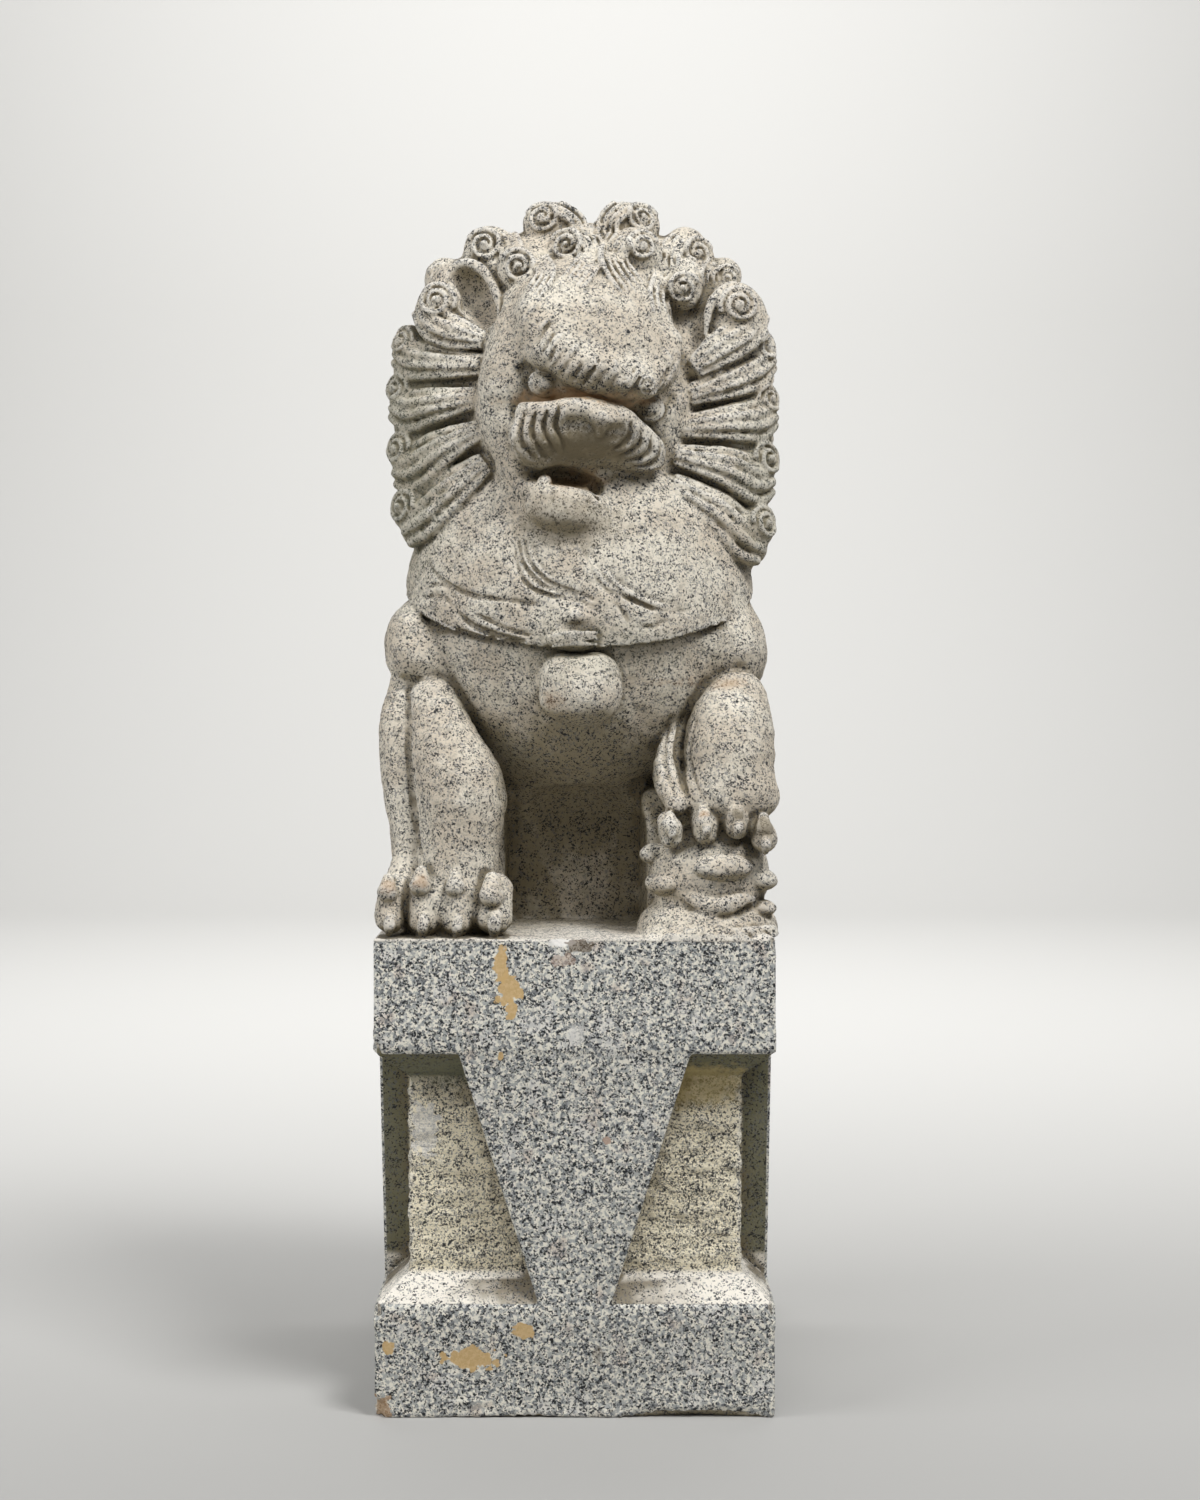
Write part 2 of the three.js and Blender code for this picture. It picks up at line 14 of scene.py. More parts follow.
import bpy
import numpy as np
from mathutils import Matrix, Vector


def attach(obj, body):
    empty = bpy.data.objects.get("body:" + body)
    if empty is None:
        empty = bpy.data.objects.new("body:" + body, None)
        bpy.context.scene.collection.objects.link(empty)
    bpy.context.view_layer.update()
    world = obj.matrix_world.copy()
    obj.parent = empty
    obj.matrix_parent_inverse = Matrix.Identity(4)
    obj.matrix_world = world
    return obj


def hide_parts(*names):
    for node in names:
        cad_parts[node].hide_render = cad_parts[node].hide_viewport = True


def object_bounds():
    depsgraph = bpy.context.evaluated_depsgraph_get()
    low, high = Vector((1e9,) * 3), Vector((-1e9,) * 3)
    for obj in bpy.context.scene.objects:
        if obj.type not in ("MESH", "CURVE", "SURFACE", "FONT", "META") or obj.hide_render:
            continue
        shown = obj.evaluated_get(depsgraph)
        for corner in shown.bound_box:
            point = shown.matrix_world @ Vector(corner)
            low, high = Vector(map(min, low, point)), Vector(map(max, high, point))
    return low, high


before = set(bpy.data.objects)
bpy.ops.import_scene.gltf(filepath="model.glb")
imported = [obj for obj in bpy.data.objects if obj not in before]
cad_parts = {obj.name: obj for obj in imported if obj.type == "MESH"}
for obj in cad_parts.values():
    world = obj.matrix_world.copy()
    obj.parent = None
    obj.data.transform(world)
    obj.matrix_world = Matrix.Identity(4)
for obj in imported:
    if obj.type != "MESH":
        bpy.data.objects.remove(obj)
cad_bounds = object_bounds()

import openvdb
from mathutils import Euler, Matrix, Vector

logging.basicConfig(level=logging.INFO, format="%(message)s")
log = logging.getLogger("guardian lion")

# A place in space, and a place in the view from the front or the side.
Point = Sequence[float]
Spot = tuple[float, float]

METRE = 1000.0
NODE = "guardian_lion"
PIECE = "guardian_lion_stone"
STEP = 1.05
MOST_TRIANGLES = 194_000

# The plinth, in millimetres.
WIDTH, DEPTH = 222.0, 250.0
FRONT, BACK = -DEPTH / 2, DEPTH / 2
PLINTH_TOP = 266.5
SLAB_FOOT = 204.0
SET_BACK = 18.0
FOOT_HEIGHT = 62.0
SET_BACK_RISE = 16.0
SOFFIT_DROP = 16.0
ARRIS = 1.2
CLOTH_TOP_HALF, CLOTH_FOOT_HALF = 64.5, 19.0
BROAD_TOP_HALF, BROAD_FOOT_HALF = 92.0, 60.0

# The field says FAR in empty space. A sample of it says no more than BEYOND. The mesh is made from
# what it says within SKIN of the surface.
FAR = 1000.0
BEYOND = 30.0
SKIN = 4.0

# The viewer's left and right as the sign of x, and the directions to the statue's back and front.
LEFT, RIGHT = -1, 1
TO_BACK, TO_FRONT = (0, 1, 0), (0, -1, 0)

# How far in front of the middle or behind it a line starts that is let down on to the stone.
CLEAR = 140


def unit(v: np.ndarray) -> np.ndarray:
    """The vector at length 1."""
    return v / max(float(np.linalg.norm(v)), 1e-9)


def curve_through(points: Sequence[Point], count: int) -> np.ndarray:
    """Places spread evenly in t along a smooth line through the points.

    Args:
        points: The places that the line passes.
        count: How many places to give back.

    Returns:
        An array of count places.
    """
    p = np.asarray(points, float)
    p = np.vstack([2 * p[0] - p[1], p, 2 * p[-1] - p[-2]])
    spans = len(p) - 3
    out = []
    for t in np.linspace(0, spans, count):
        i = min(int(t), spans - 1)
        u = t - i
        a, b, c, d = p[i : i + 4]
        curve = 2 * b + (c - a) * u + (2 * a - 5 * b + 4 * c - d) * u**2 + (3 * b - a - 3 * c + d) * u**3
        out.append(0.5 * curve)
    return np.array(out)


def spread(values: Sequence[float], count: int) -> np.ndarray:
    """The values drawn out to count numbers."""
    return np.interp(np.linspace(0, 1, count), np.linspace(0, 1, len(values)), values)


def waves(p: tuple[np.ndarray, ...], length: Point, seed: int, count: int = 6) -> np.ndarray:
    """A smooth uneven field from -1 to 1 made of crossing waves.

    Args:
        p: The x, y and z of the places.
        length: The wavelength along each axis.
        seed: Which pattern to draw.
        count: How many waves cross.

    Returns:
        One value for each place.
    """
    rng = np.random.default_rng(seed)
    total = 0.0
    for _ in range(count):
        way = unit(rng.normal(size=3)) * 2 * math.pi / np.asarray(length) * rng.uniform(0.7, 1.5)
        total = total + np.sin(p[0] * way[0] + p[1] * way[1] + p[2] * way[2] + rng.uniform(0, 6.3))
    return total / count * 1.6


class Form(Protocol):
    """A shape that can be added to the stone or cut out of it."""

    def reach(self) -> tuple[np.ndarray, np.ndarray]:
        """The lowest and highest corners of the form."""

    def distance(self, x: np.ndarray, y: np.ndarray, z: np.ndarray) -> np.ndarray:
        """How far each place is from the form's surface, less than 0 inside."""


@dataclass(frozen=True)
class Round:
    """An ellipsoid. Tilt turns it in degrees about X, then Y, then Z."""

    at: Point
    radii: Point
    tilt: Point = (0, 0, 0)
    turn: Matrix | None = None

    def axes(self) -> np.ndarray:
        """The ellipsoid's own axes as the columns of a matrix."""
        own = Euler([math.radians(a) for a in self.tilt], "XYZ").to_matrix()
        return np.array(self.turn @ own if self.turn else own)

    def reach(self) -> tuple[np.ndarray, np.ndarray]:
        """The lowest and highest corners of the form."""
        half = np.sqrt(((self.axes() * np.asarray(self.radii, float)) ** 2).sum(1))
        return np.asarray(self.at) - half, np.asarray(self.at) + half

    def distance(self, x: np.ndarray, y: np.ndarray, z: np.ndarray) -> np.ndarray:
        """How far each place is from the form's surface, less than 0 inside.

        Args:
            x: The places' x.
            y: Their y.
            z: Their z.

        Returns:
            One distance for each place.
        """
        axes = self.axes().astype(np.float32)
        dx, dy, dz = (v - np.float32(c) for v, c in zip((x, y, z), self.at))
        near, far = 0.0, 0.0
        for i, r in enumerate(self.radii):
            q = (dx * axes[0, i] + dy * axes[1, i] + dz * axes[2, i]) / np.float32(r)
            near = near + q * q
            far = far + (q / np.float32(r)) ** 2
        near = np.sqrt(near)
        return near * (near - 1) / np.maximum(np.sqrt(far), 1e-6)


@dataclass(frozen=True)
class Strand:
    """A rounded rope of stone along a chain of places."""

    points: Sequence[Point]
    radii: Sequence[float]

    def reach(self) -> tuple[np.ndarray, np.ndarray]:
        """The lowest and highest corners of the form."""
        p, r = np.asarray(self.points), max(self.radii)
        return p.min(0) - r, p.max(0) + r

    def distance(self, x: np.ndarray, y: np.ndarray, z: np.ndarray) -> np.ndarray:
        """How far each place is from the form's surface, less than 0 inside.

        Args:
            x: The places' x.
            y: Their y.
            z: Their z.

        Returns:
            One distance for each place.
        """
        p = np.asarray(self.points, np.float32)
        best = None
        for a, b, ra, rb in zip(p[:-1], p[1:], self.radii[:-1], self.radii[1:]):
            way = b - a
            size = max(float(way @ way), 1e-6)
            dx, dy, dz = x - a[0], y - a[1], z - a[2]
            t = np.clip((dx * way[0] + dy * way[1] + dz * way[2]) / size, 0, 1)
            gap = (dx - way[0] * t) ** 2 + (dy - way[1] * t) ** 2 + (dz - way[2] * t) ** 2
            d = np.sqrt(gap) - (ra + (rb - ra) * t)
            best = d if best is None else np.minimum(best, d)
        return best


def rope(points: Sequence[Point], sizes: Sequence[float], count: int) -> Strand:
    """A strand along a smooth line, its radii drawn out over count places."""
    return Strand(curve_through(points, count), spread(sizes, count))


@dataclass(frozen=True)
class Block:
    """A box with slightly rounded edges."""

    low: Point
    high: Point
    edge: float = 1.0

    def reach(self) -> tuple[np.ndarray, np.ndarray]:
        """The lowest and highest corners of the form."""
        return np.asarray(self.low, float), np.asarray(self.high, float)

    def distance(self, x: np.ndarray, y: np.ndarray, z: np.ndarray) -> np.ndarray:
        """How far each place is from the form's surface, less than 0 inside.

        Args:
            x: The places' x.
            y: Their y.
            z: Their z.

        Returns:
            One distance for each place.
        """
        outside, inside = 0.0, -FAR
        for v, a, b in zip((x, y, z), self.low, self.high):
            q = np.abs(v - (a + b) / 2) - ((b - a) / 2 - self.edge)
            outside = outside + np.maximum(q, 0) ** 2
            inside = np.maximum(inside, q)
        return np.sqrt(outside) + np.minimum(inside, 0) - self.edge


@dataclass(frozen=True)
class Slopes:
    """What lies between flat faces, each a direction and how far out it is, or what they leave of a form."""

    low: Point
    high: Point
    faces: Sequence[tuple[Point, float]]
    form: Round | None = None

    def reach(self) -> tuple[np.ndarray, np.ndarray]:
        """The lowest and highest corners of the form."""
        return np.asarray(self.low, float), np.asarray(self.high, float)

    def distance(self, x: np.ndarray, y: np.ndarray, z: np.ndarray) -> np.ndarray:
        """How far each place is from the form's surface, less than 0 inside.

        Args:
            x: The places' x.
            y: Their y.
            z: Their z.

        Returns:
            One distance for each place.
        """
        best = self.form.distance(x, y, z) if self.form else -FAR
        for way, out in self.faces:
            n = unit(np.asarray(way, float))
            best = np.maximum(best, x * n[0] + y * n[1] + z * n[2] - out / float(np.linalg.norm(way)))
        return best


@dataclass
class Stone:
    """The block as a distance field on a grid."""

    low: np.ndarray
    high: np.ndarray
    step: float
    values: np.ndarray = field(init=False)

    def __post_init__(self) -> None:
        """Starts with empty space."""
        count = np.ceil((self.high - self.low) / self.step).astype(int) + 1
        self.values = np.full(count, FAR, np.float32)

    def window(self, low: np.ndarray, high: np.ndarray) -> tuple[tuple[slice, ...], list[np.ndarray]]:
        """The part of the grid in a box, and its x, y and z.

        Args:
            low: The box's lowest corner.
            high: Its highest corner.

        Returns:
            The slices of the grid, and the x, y and z of its points.
        """
        first = np.clip(np.floor((low - self.low) / self.step).astype(int), 0, None)
        last = np.minimum(np.ceil((high - self.low) / self.step).astype(int) + 1, self.values.shape)
        cuts = tuple(slice(a, max(a, b)) for a, b in zip(first, last))
        places = []
        for i, cut in enumerate(cuts):
            shape = [1, 1, 1]
            shape[i] = -1
            line = self.low[i] + self.step * np.arange(cut.start, cut.stop)
            places.append(line.astype(np.float32).reshape(shape))
        return cuts, places

    def _near(self, form: Form, soft: float) -> tuple[np.ndarray, np.ndarray]:
        """The stone around a form, and the form's distances there.

        Args:
            form: The form.
            soft: The breadth of its seam.

        Returns:
            The part of the field round the form, and the form's distances there.
        """
        low, high = form.reach()
        margin = max(soft, 2 * self.step) + SKIN
        cuts, places = self.window(low - margin, high + margin)
        return self.values[cuts], form.distance(*places).astype(np.float32)

    def add(self, form: Form, soft: float = 1.0) -> None:
        """Joins a form to the stone, its seam filled over a breadth of about soft.

        Args:
            form: The form.
            soft: The breadth of the seam.
        """
        part, near = self._near(form, soft)
        gap = np.maximum(soft - np.abs(part - near), 0)
        part[...] = np.minimum(part, near) - gap * gap / (4 * soft)

    def cut(self, form: Form, soft: float = 1.0) -> None:
        """Carves a form out of the stone.

        Args:
            form: The form.
            soft: The breadth over which its edge is rounded.
        """
        part, near = self._near(form, soft)
        gap = np.maximum(soft - np.abs(part + near), 0)
        part[...] = np.maximum(part, -near) + gap * gap / (4 * soft)

    def add_all(self, forms: Iterable[Form], soft: float = 1.0) -> None:
        """Joins several forms."""
        for form in forms:
            self.add(form, soft)

    def sample(self, p: np.ndarray) -> np.ndarray:
        """The field at some places, read between the grid's points.

        Args:
            p: The places, one in each row.

        Returns:
            The field there, cut off at BEYOND.
        """
        q = np.clip((p - self.low) / self.step, 0, np.array(self.values.shape) - 1.001)
        i = q.astype(int)
        f = q - i
        total = 0.0
        for corner in np.ndindex(2, 2, 2):
            share = np.prod(np.where(corner, f, 1 - f), axis=1)
            total = total + share * np.minimum(self.values[tuple((i + corner).T)], BEYOND)
        return total

    def touch(self, start: Point, way: Point, reach: float = 200.0) -> np.ndarray:
        """Where a line from a start outside first meets the stone.

        Args:
            start: Where the line begins.
            way: Its direction.
            reach: How far to look.

        Returns:
            The place on the surface, or the start if the line misses.
        """
        start, way = np.asarray(start, float), unit(np.asarray(way, float))
        t = np.arange(0, reach, self.step / 2)
        line = start + t[:, None] * way
        d = self.sample(line)
        hit = np.nonzero(d < 0)[0]
        return line[hit[0]] if len(hit) else start

    def facing(self, place: Point) -> np.ndarray:
        """The direction straight out of the stone at a place on its surface.

        Args:
            place: The place.

        Returns:
            The direction, at length 1.
        """
        e = 2.0
        p = np.asarray(place, float)
        probes = np.array([p + e * s * np.eye(3)[i] for i in range(3) for s in (1, -1)])
        d = self.sample(probes)
        return unit(d[0::2] - d[1::2])

    def engrave(
        self, places: Sequence[Point], way: Point, breadth: float, depth: float, count: int = 14
    ) -> None:
        """Cuts a line into the surface.

        Args:
            places: Places that the line passes, outside the stone.
            way: The direction in which they are let down on to it.
            breadth: The breadth of the line's round section.
            depth: How deep it goes.
            count: How many places to lay it through.
        """
        r = breadth / 2
        route = [self.touch(p, way) for p in curve_through(places, count)]
        route = [p - unit(np.asarray(way, float)) * (r - depth) for p in route]
        sizes = r * np.sin(np.linspace(0.35, math.pi - 0.35, count)) ** 0.5
        self.cut(Strand(route, list(sizes)), 0.5)

    def ridge(
        self, places: Sequence[Point], way: Point, sizes: Sequence[float], sunk: float, soft: float
    ) -> None:
        """Lays a rounded ridge on the surface.

        Args:
            places: Places that the ridge passes, outside the stone.
            way: The direction in which they are let down on to it.
            sizes: The ridge's radii along its way.
            sunk: The share of the radius by which its middle line lies under the surface.
            soft: The breadth of its seams.
        """
        down = unit(np.asarray(way, float))
        route = [self.touch(p, way) for p in places]
        self.add(Strand([p + down * sunk * r for p, r in zip(route, sizes)], list(sizes)), soft)

    def roughen(self, low: Point, high: Point, size: float, length: Point, seed: int) -> None:
        """Raises and lowers the surface inside a box by an uneven pattern.

        Args:
            low: The box's lowest corner.
            high: Its highest corner.
            size: How far the surface moves.
            length: The pattern's wavelength along each axis.
            seed: Which pattern to draw.
        """
        cuts, places = self.window(np.asarray(low, float), np.asarray(high, float))
        part = self.values[cuts]
        near = np.nonzero(np.abs(part) < SKIN + 1)
        p = tuple(line.reshape(-1)[i] for line, i in zip(places, near))
        part[near] += size * waves(p, length, seed)

    def skin(self) -> tuple[np.ndarray, np.ndarray]:
        """The surface as corners in millimetres and four-sided faces.

        Returns:
            The corners, and for each face the numbers of its four corners.
        """
        grid = openvdb.FloatGrid(SKIN)
        grid.copyFromArray(np.clip(self.values, -SKIN, SKIN), tolerance=0.0)
        corners, _, quads = grid.convertToPolygons(isovalue=0.0, adaptivity=0.0)
        return np.asarray(corners) * self.step + self.low, np.asarray(quads)


@dataclass(frozen=True)
class Curl:
    """A snail curl: a low dome with a rope wound over it to a knob."""

    at: Point
    radius: float
    facing: Point
    start: float = 0.0
    hand: int = 1
    turns: float = 1.7
    height: float = 0.3

    def carve(self, stone: Stone) -> None:
        """Adds the curl to the stone.

        Args:
            stone: The block that is carved.
        """
        out = unit(np.asarray(self.facing, float))
        side = unit(np.cross(out, [0.03, 0.1, 1.0]))
        up = np.cross(side, out)
        c, r = np.asarray(self.at, float), self.radius
        turn = Matrix(np.column_stack([side, up, out]).tolist())
        stone.add(Round(c - 0.4 * r * out, (1.05 * r, 1.05 * r, (0.4 + self.height) * r), turn=turn), 2.5)
        places, sizes = [], []
        for t in np.linspace(0, 1, int(18 * self.turns)):
            angle = math.radians(self.start) + self.hand * t * self.turns * 2 * math.pi
            wide = r * (0.86 - 0.74 * t)
            places.append(c + wide * (math.cos(angle) * side + math.sin(angle) * up) + 1.2 * r * out)
            sizes.append(r * (0.16 - 0.03 * t))
        stone.ridge(places, -out, sizes, -0.35, 0.3)
        stone.ridge([c + 1.2 * r * out] * 2, -out, [0.17 * r] * 2, -0.5, 0.3)


@dataclass(frozen=True)
class Plinth:
    """A foot, a sloping set-back, a narrower rough waist and a slab, with a cloth over each side.

    Each of the waist's marks is a depth, a length along each axis and a pattern. Each bite out of the
    arrises is a place and its radii.
    """

    core_foot: float = 30
    core_top: float = 240
    marks: Sequence[tuple[float, Point, int]] = (
        (0.8, (60, 60, 8), 3),
        (0.6, (17, 17, 4.2), 4),
        (0.35, (7, 7, 3.2), 5),
    )
    bites: Sequence[tuple[Point, Point]] = (
        ((-5, FRONT - 1, PLINTH_TOP + 1), (9, 5, 4)),
        ((66, FRONT - 3, -1), (46, 8, 6)),
        ((-30, FRONT - 4, -2), (60, 8, 4.5)),
        ((-WIDTH / 2 - 2, FRONT - 2, 2), (8, 9, 11)),
        ((WIDTH / 2 + 2, 30, -2), (8, 60, 6)),
        ((-WIDTH / 2 - 1, FRONT - 1, SLAB_FOOT + 1), (5, 5, 6)),
        ((WIDTH / 2 + 1, FRONT, PLINTH_TOP - 2), (4, 4, 7)),
        ((WIDTH / 2, FRONT, FOOT_HEIGHT - 1), (4, 4, 5)),
        ((-WIDTH / 2, FRONT, FOOT_HEIGHT - 2), (4, 5, 4)),
        ((CLOTH_FOOT_HALF - 44, FRONT - 1, 96), (2, 2, 6)),
    )

    def carve(self, stone: Stone) -> None:
        """Builds the plinth, roughens its waist and breaks its edges.

        Args:
            stone: The block that is carved.
        """
        wide, narrow = WIDTH / 2, WIDTH / 2 - SET_BACK
        core = (-narrow, FRONT + SET_BACK, self.core_foot), (narrow, BACK - SET_BACK, self.core_top)
        stone.add(Block(*core), 0.6)
        low, high = (-wide, FRONT, FOOT_HEIGHT), (wide, BACK, SLAB_FOOT)
        for size, length, seed in self.marks:
            stone.roughen(low, high, size, length, seed)
        stone.add(Block((-wide, FRONT, 0), (wide, BACK, FOOT_HEIGHT), ARRIS), 0.6)
        stone.add(Block((-wide, FRONT, SLAB_FOOT), (wide, BACK, PLINTH_TOP), ARRIS), 0.6)
        stone.add(self.slopes(FOOT_HEIGHT, SET_BACK_RISE), 1.5)
        stone.add(self.slopes(SLAB_FOOT, -SOFFIT_DROP), 1.5)
        for quarter in range(4):
            stone.add(self.cloth(quarter), 0.6)
        self.weather(stone)

    def slopes(self, height: float, rise: float) -> Slopes:
        """The four slopes that lead from the full block to the waist.

        Args:
            height: Where the full block ends.
            rise: How far the slopes lead up, or down if less than 0.

        Returns:
            The form between the slopes.
        """
        wide, deep = WIDTH / 2, DEPTH / 2
        way, steep = math.copysign(1, rise), abs(rise) / SET_BACK
        end = way * (height + rise)
        faces = [((side * steep, 0, way), end + steep * (wide - SET_BACK)) for side in (LEFT, RIGHT)]
        faces += [((0, side * steep, way), end + steep * (deep - SET_BACK)) for side in (-1, 1)]
        faces += [((side, 0, 0), wide) for side in (LEFT, RIGHT)] + [((0, side, 0), deep) for side in (-1, 1)]
        faces += [((0, 0, way), end), ((0, 0, -way), -way * height + 12)]
        return Slopes((-wide, FRONT, height - 30), (wide, BACK, height + 30), faces)

    def cloth(self, quarter: int) -> Slopes:
        """The cloth on one side.

        Args:
            quarter: Which side, counted in quarter turns from the front.

        Returns:
            The cloth.
        """
        flank = quarter % 2 == 1
        reach = (WIDTH if flank else DEPTH) / 2
        halves = (BROAD_TOP_HALF, BROAD_FOOT_HALF) if flank else (CLOTH_TOP_HALF, CLOTH_FOOT_HALF)
        top_half, foot_half = halves
        turn = Matrix.Rotation(quarter * math.pi / 2, 3, "Z")
        lean = (top_half - foot_half) / (SLAB_FOOT - FOOT_HEIGHT + 2)
        edge = foot_half - lean * (FOOT_HEIGHT - 2)
        faces = [((1, 0, -lean), edge), ((-1, 0, -lean), edge)]
        faces += [((0, -1, 0), reach), ((0, 1, 0), -(reach - SET_BACK - 4))]
        faces += [((0, 0, 1), SLAB_FOOT + 4), ((0, 0, -1), -(FOOT_HEIGHT - 6))]
        low = Vector((-top_half - 2, -reach, FOOT_HEIGHT - 6))
        high = Vector((top_half + 2, -reach + SET_BACK + 4, SLAB_FOOT + 4))
        corners = np.array([turn @ low, turn @ high])
        return Slopes(corners.min(0), corners.max(0), [(turn @ Vector(way), out) for way, out in faces])

    def weather(self, stone: Stone) -> None:
        """Chips the arrises and wears the lower edge.

        Args:
            stone: The block that is carved.
        """
        for at, size in self.bites:
            form = Round(at, size)
            low, high = form.reach()
            stone.cut(form, 1.5)
            stone.roughen(low - 1, high + 1, 0.5, (5, 5, 5), 11)
        stone.roughen((-WIDTH / 2, FRONT - 2, 0), (WIDTH / 2, BACK + 2, 9), 0.5, (16, 16, 9), 6)


@dataclass(frozen=True)
class Body:
    """Chest, barrel, rump, shoulders and haunches, and the arched space between the forelegs.

    The thighs, the hind paw and the lines are given for the viewer's right and mirrored on the left.
    The lines start clear of the stone and are let down on to it.
    """

    niche_left: float = -39
    niche_right: float = 41
    niche_back: float = -16
    niche_top: float = 354
    chest_at: Point = (2, -42, 450)
    chest: Point = (98, 64, 105)
    barrel: Round = Round((0, 16, 404), (86, 78, 94), (-14, 0, 0))
    rump: Round = Round((0, 52, 336), (88, 66, 84))
    thighs: Sequence[tuple[Point, Point, float]] = (
        ((76, 50, 342), (34, 62, 64), 24),
        ((84, 4, 318), (25, 34, 42), -20),
    )
    shoulders: Sequence[tuple[Round, float]] = (
        (Round((-95, -42, 432), (15, 34, 19), (-16, 0, 0)), 12),
        (Round((-89, -62, 421), (18, 20, 17)), 16),
        (Round((92, -44, 424), (19, 36, 24), (-12, 0, 0)), 20),
    )
    paw: Sequence[Point] = ((86, 44, 281), (87, 6, 281), (88, -34, 280))
    clear: float = 130
    thigh_line: Sequence[Spot] = ((88, 392), (40, 398), (4, 374), (-16, 334))
    hock_line: Sequence[Spot] = ((92, 300), (52, 306), (14, 300))

    def carve(self, stone: Stone) -> None:
        """Builds the body on the plinth.

        Args:
            stone: The block that is carved.
        """
        stone.add(Block((-84, self.niche_back, 258), (84, 100, 380), 4), 4)
        stone.add_all([Round(self.chest_at, tuple(r - 1.5 for r in self.chest)), self.barrel, self.rump], 12)
        for side in (LEFT, RIGHT):
            for (x, y, z), radii, lean in self.thighs:
                stone.add(Round((side * x, y, z), radii, (lean, 0, 0)), 12)
        for side in (LEFT, RIGHT):
            stone.add(Block((side * 62 - 24, -66, 258), (side * 62 + 21, 4, 346), 6), 8)
            self.hind_paw(stone, side)
        self.open_niche(stone)
        for form, soft in self.shoulders:
            stone.add(form, soft)

    def open_niche(self, stone: Stone) -> None:
        """Cuts the arched space between the forelegs."""
        low = (self.niche_left, FRONT - 60, PLINTH_TOP - 60)
        stone.cut(Block(low, (self.niche_right, self.niche_back, self.niche_top - 6), 30), 4)

    def hind_paw(self, stone: Stone, side: int) -> None:
        """The paw along the plinth's edge, with three toes and the line of the thigh.

        Args:
            stone: The block that is carved.
            side: LEFT or RIGHT, as the viewer sees it.
        """
        stone.add(Strand([(side * x, y, z) for x, y, z in self.paw], [19, 18, 15]), 6)
        for shift in (-13, 0, 13):
            x = side * 88 + shift
            toe = [(side * 88 + shift * 0.8, -28, 287), (x, -42, 284), (x, -49, 276)]
            stone.add(Strand(toe, [6, 7.5, 6.5]), 1.0)
            stone.add(Strand([(x, -54, 276), (x, -56, 270)], [2.6, 1.6]), 0.6)
        for line, depth in ((self.thigh_line, 2.0), (self.hock_line, 2.5)):
            stone.engrave([(side * self.clear, y, z) for y, z in line], (-side, 0, 0), 5, depth)


@dataclass(frozen=True)
class Toe:
    """A toe with a tear-shaped knuckle above it and a hooked claw below."""

    at: Point
    half: float
    tall: float
    length: float = 18.0

    def carve(self, stone: Stone) -> None:
        """Adds the toe to the stone.

        Args:
            stone: The block that is carved.
        """
        x, y, z = self.at
        h = self.half
        top = z + self.tall
        finger = [(x * 0.97, y + self.length, top - 0.2 * h), (x, y + 1.1 * h, top - 1.3 * h)]
        stone.add(Strand([*finger, (x, y + h, z + h)], [0.85 * h, 0.9 * h, 0.98 * h]), 2.2)
        stone.add(Round((x, y + 1.5 * h, z + 0.5 * self.tall), (0.95 * h, 1.3 * h, 0.5 * self.tall)), 1.5)
        bead = [(x - 0.1 * h, y + 1.1 * h, top + 0.4 * h), (x - 0.1 * h, y + 0.4 * h, top - 0.4 * h)]
        stone.add(Strand(bead, [0.4 * h, 0.68 * h]), 1.0)
        claw = [(x + 0.1 * h, y + 0.2 * h, z + 1.1 * h), (x + 0.1 * h, y - 0.1 * h, z + 0.7 * h)]
        claw += [(x, y + 0.2 * h, z + 0.15 * h)]
        stone.add(Strand(claw, [0.42 * h, 0.42 * h, 0.25 * h]), 0.4)
        for side in (LEFT, RIGHT):
            nick = [(x + side * 0.62 * h, y - 1, z + 1.5 * h), (x + side * 0.55 * h, y - 1.5, z + 0.5 * h)]
            stone.cut(Strand(nick, [0.1 * h, 0.2 * h]), 0.5)


@dataclass(frozen=True)
class StandingLeg:
    """The foreleg on the plinth, with a tuft down its outer edge.

    A toe is its x, z, half breadth and height.
    """

    column: Sequence[Point] = (
        (-81, -74, 396), (-74, -82, 370), (-65, -86, 345), (-66, -88, 318), (-68, -88, 288),
    )
    behind: Sequence[Point] = ((-92, -58, 404), (-92, -66, 375), (-88, -70, 340), (-86, -76, 300))
    tuft: Sequence[Point] = (
        (-97, -62, 412), (-102, -70, 384), (-100, -77, 346), (-95, -85, 315), (-99, -96, 292),
    )
    paw: Round = Round((-72, -90, 283), (36, 27, 18))
    crease: Sequence[Point] = ((-110, -84, 417), (-100, -97, 405), (-84, -101, 411))
    groove: Sequence[Spot] = ((-95, 404), (-94, 372), (-91, 340), (-87, 312))
    toe_front: float = -120.5
    toes: Sequence[tuple[float, float, float, float]] = (
        (-103, 268, 8.5, 27), (-84.5, 267, 9, 32), (-65.5, 267, 8.5, 31), (-45, 267, 10.5, 27),
    )

    def carve(self, stone: Stone) -> None:
        """Adds the leg to the stone.

        Args:
            stone: The block that is carved.
        """
        stone.add(rope(self.column, [15, 21, 26.5, 23, 24], 14), 2.5)
        stone.add(self.paw, 7)
        stone.add(rope(self.behind, [14, 20, 20, 18], 9), 4)
        stone.add(rope(self.tuft, [8, 10.5, 10, 7.5, 9], 12), 3)
        stone.cut(Strand(self.crease, [1.5, 2.6, 1.5]), 4)
        stone.engrave([(x, -CLEAR, z) for x, z in self.groove], TO_BACK, 7, 3)
        for x, z, half, tall in self.toes:
            Toe((x, self.toe_front, z), half, tall).carve(stone)


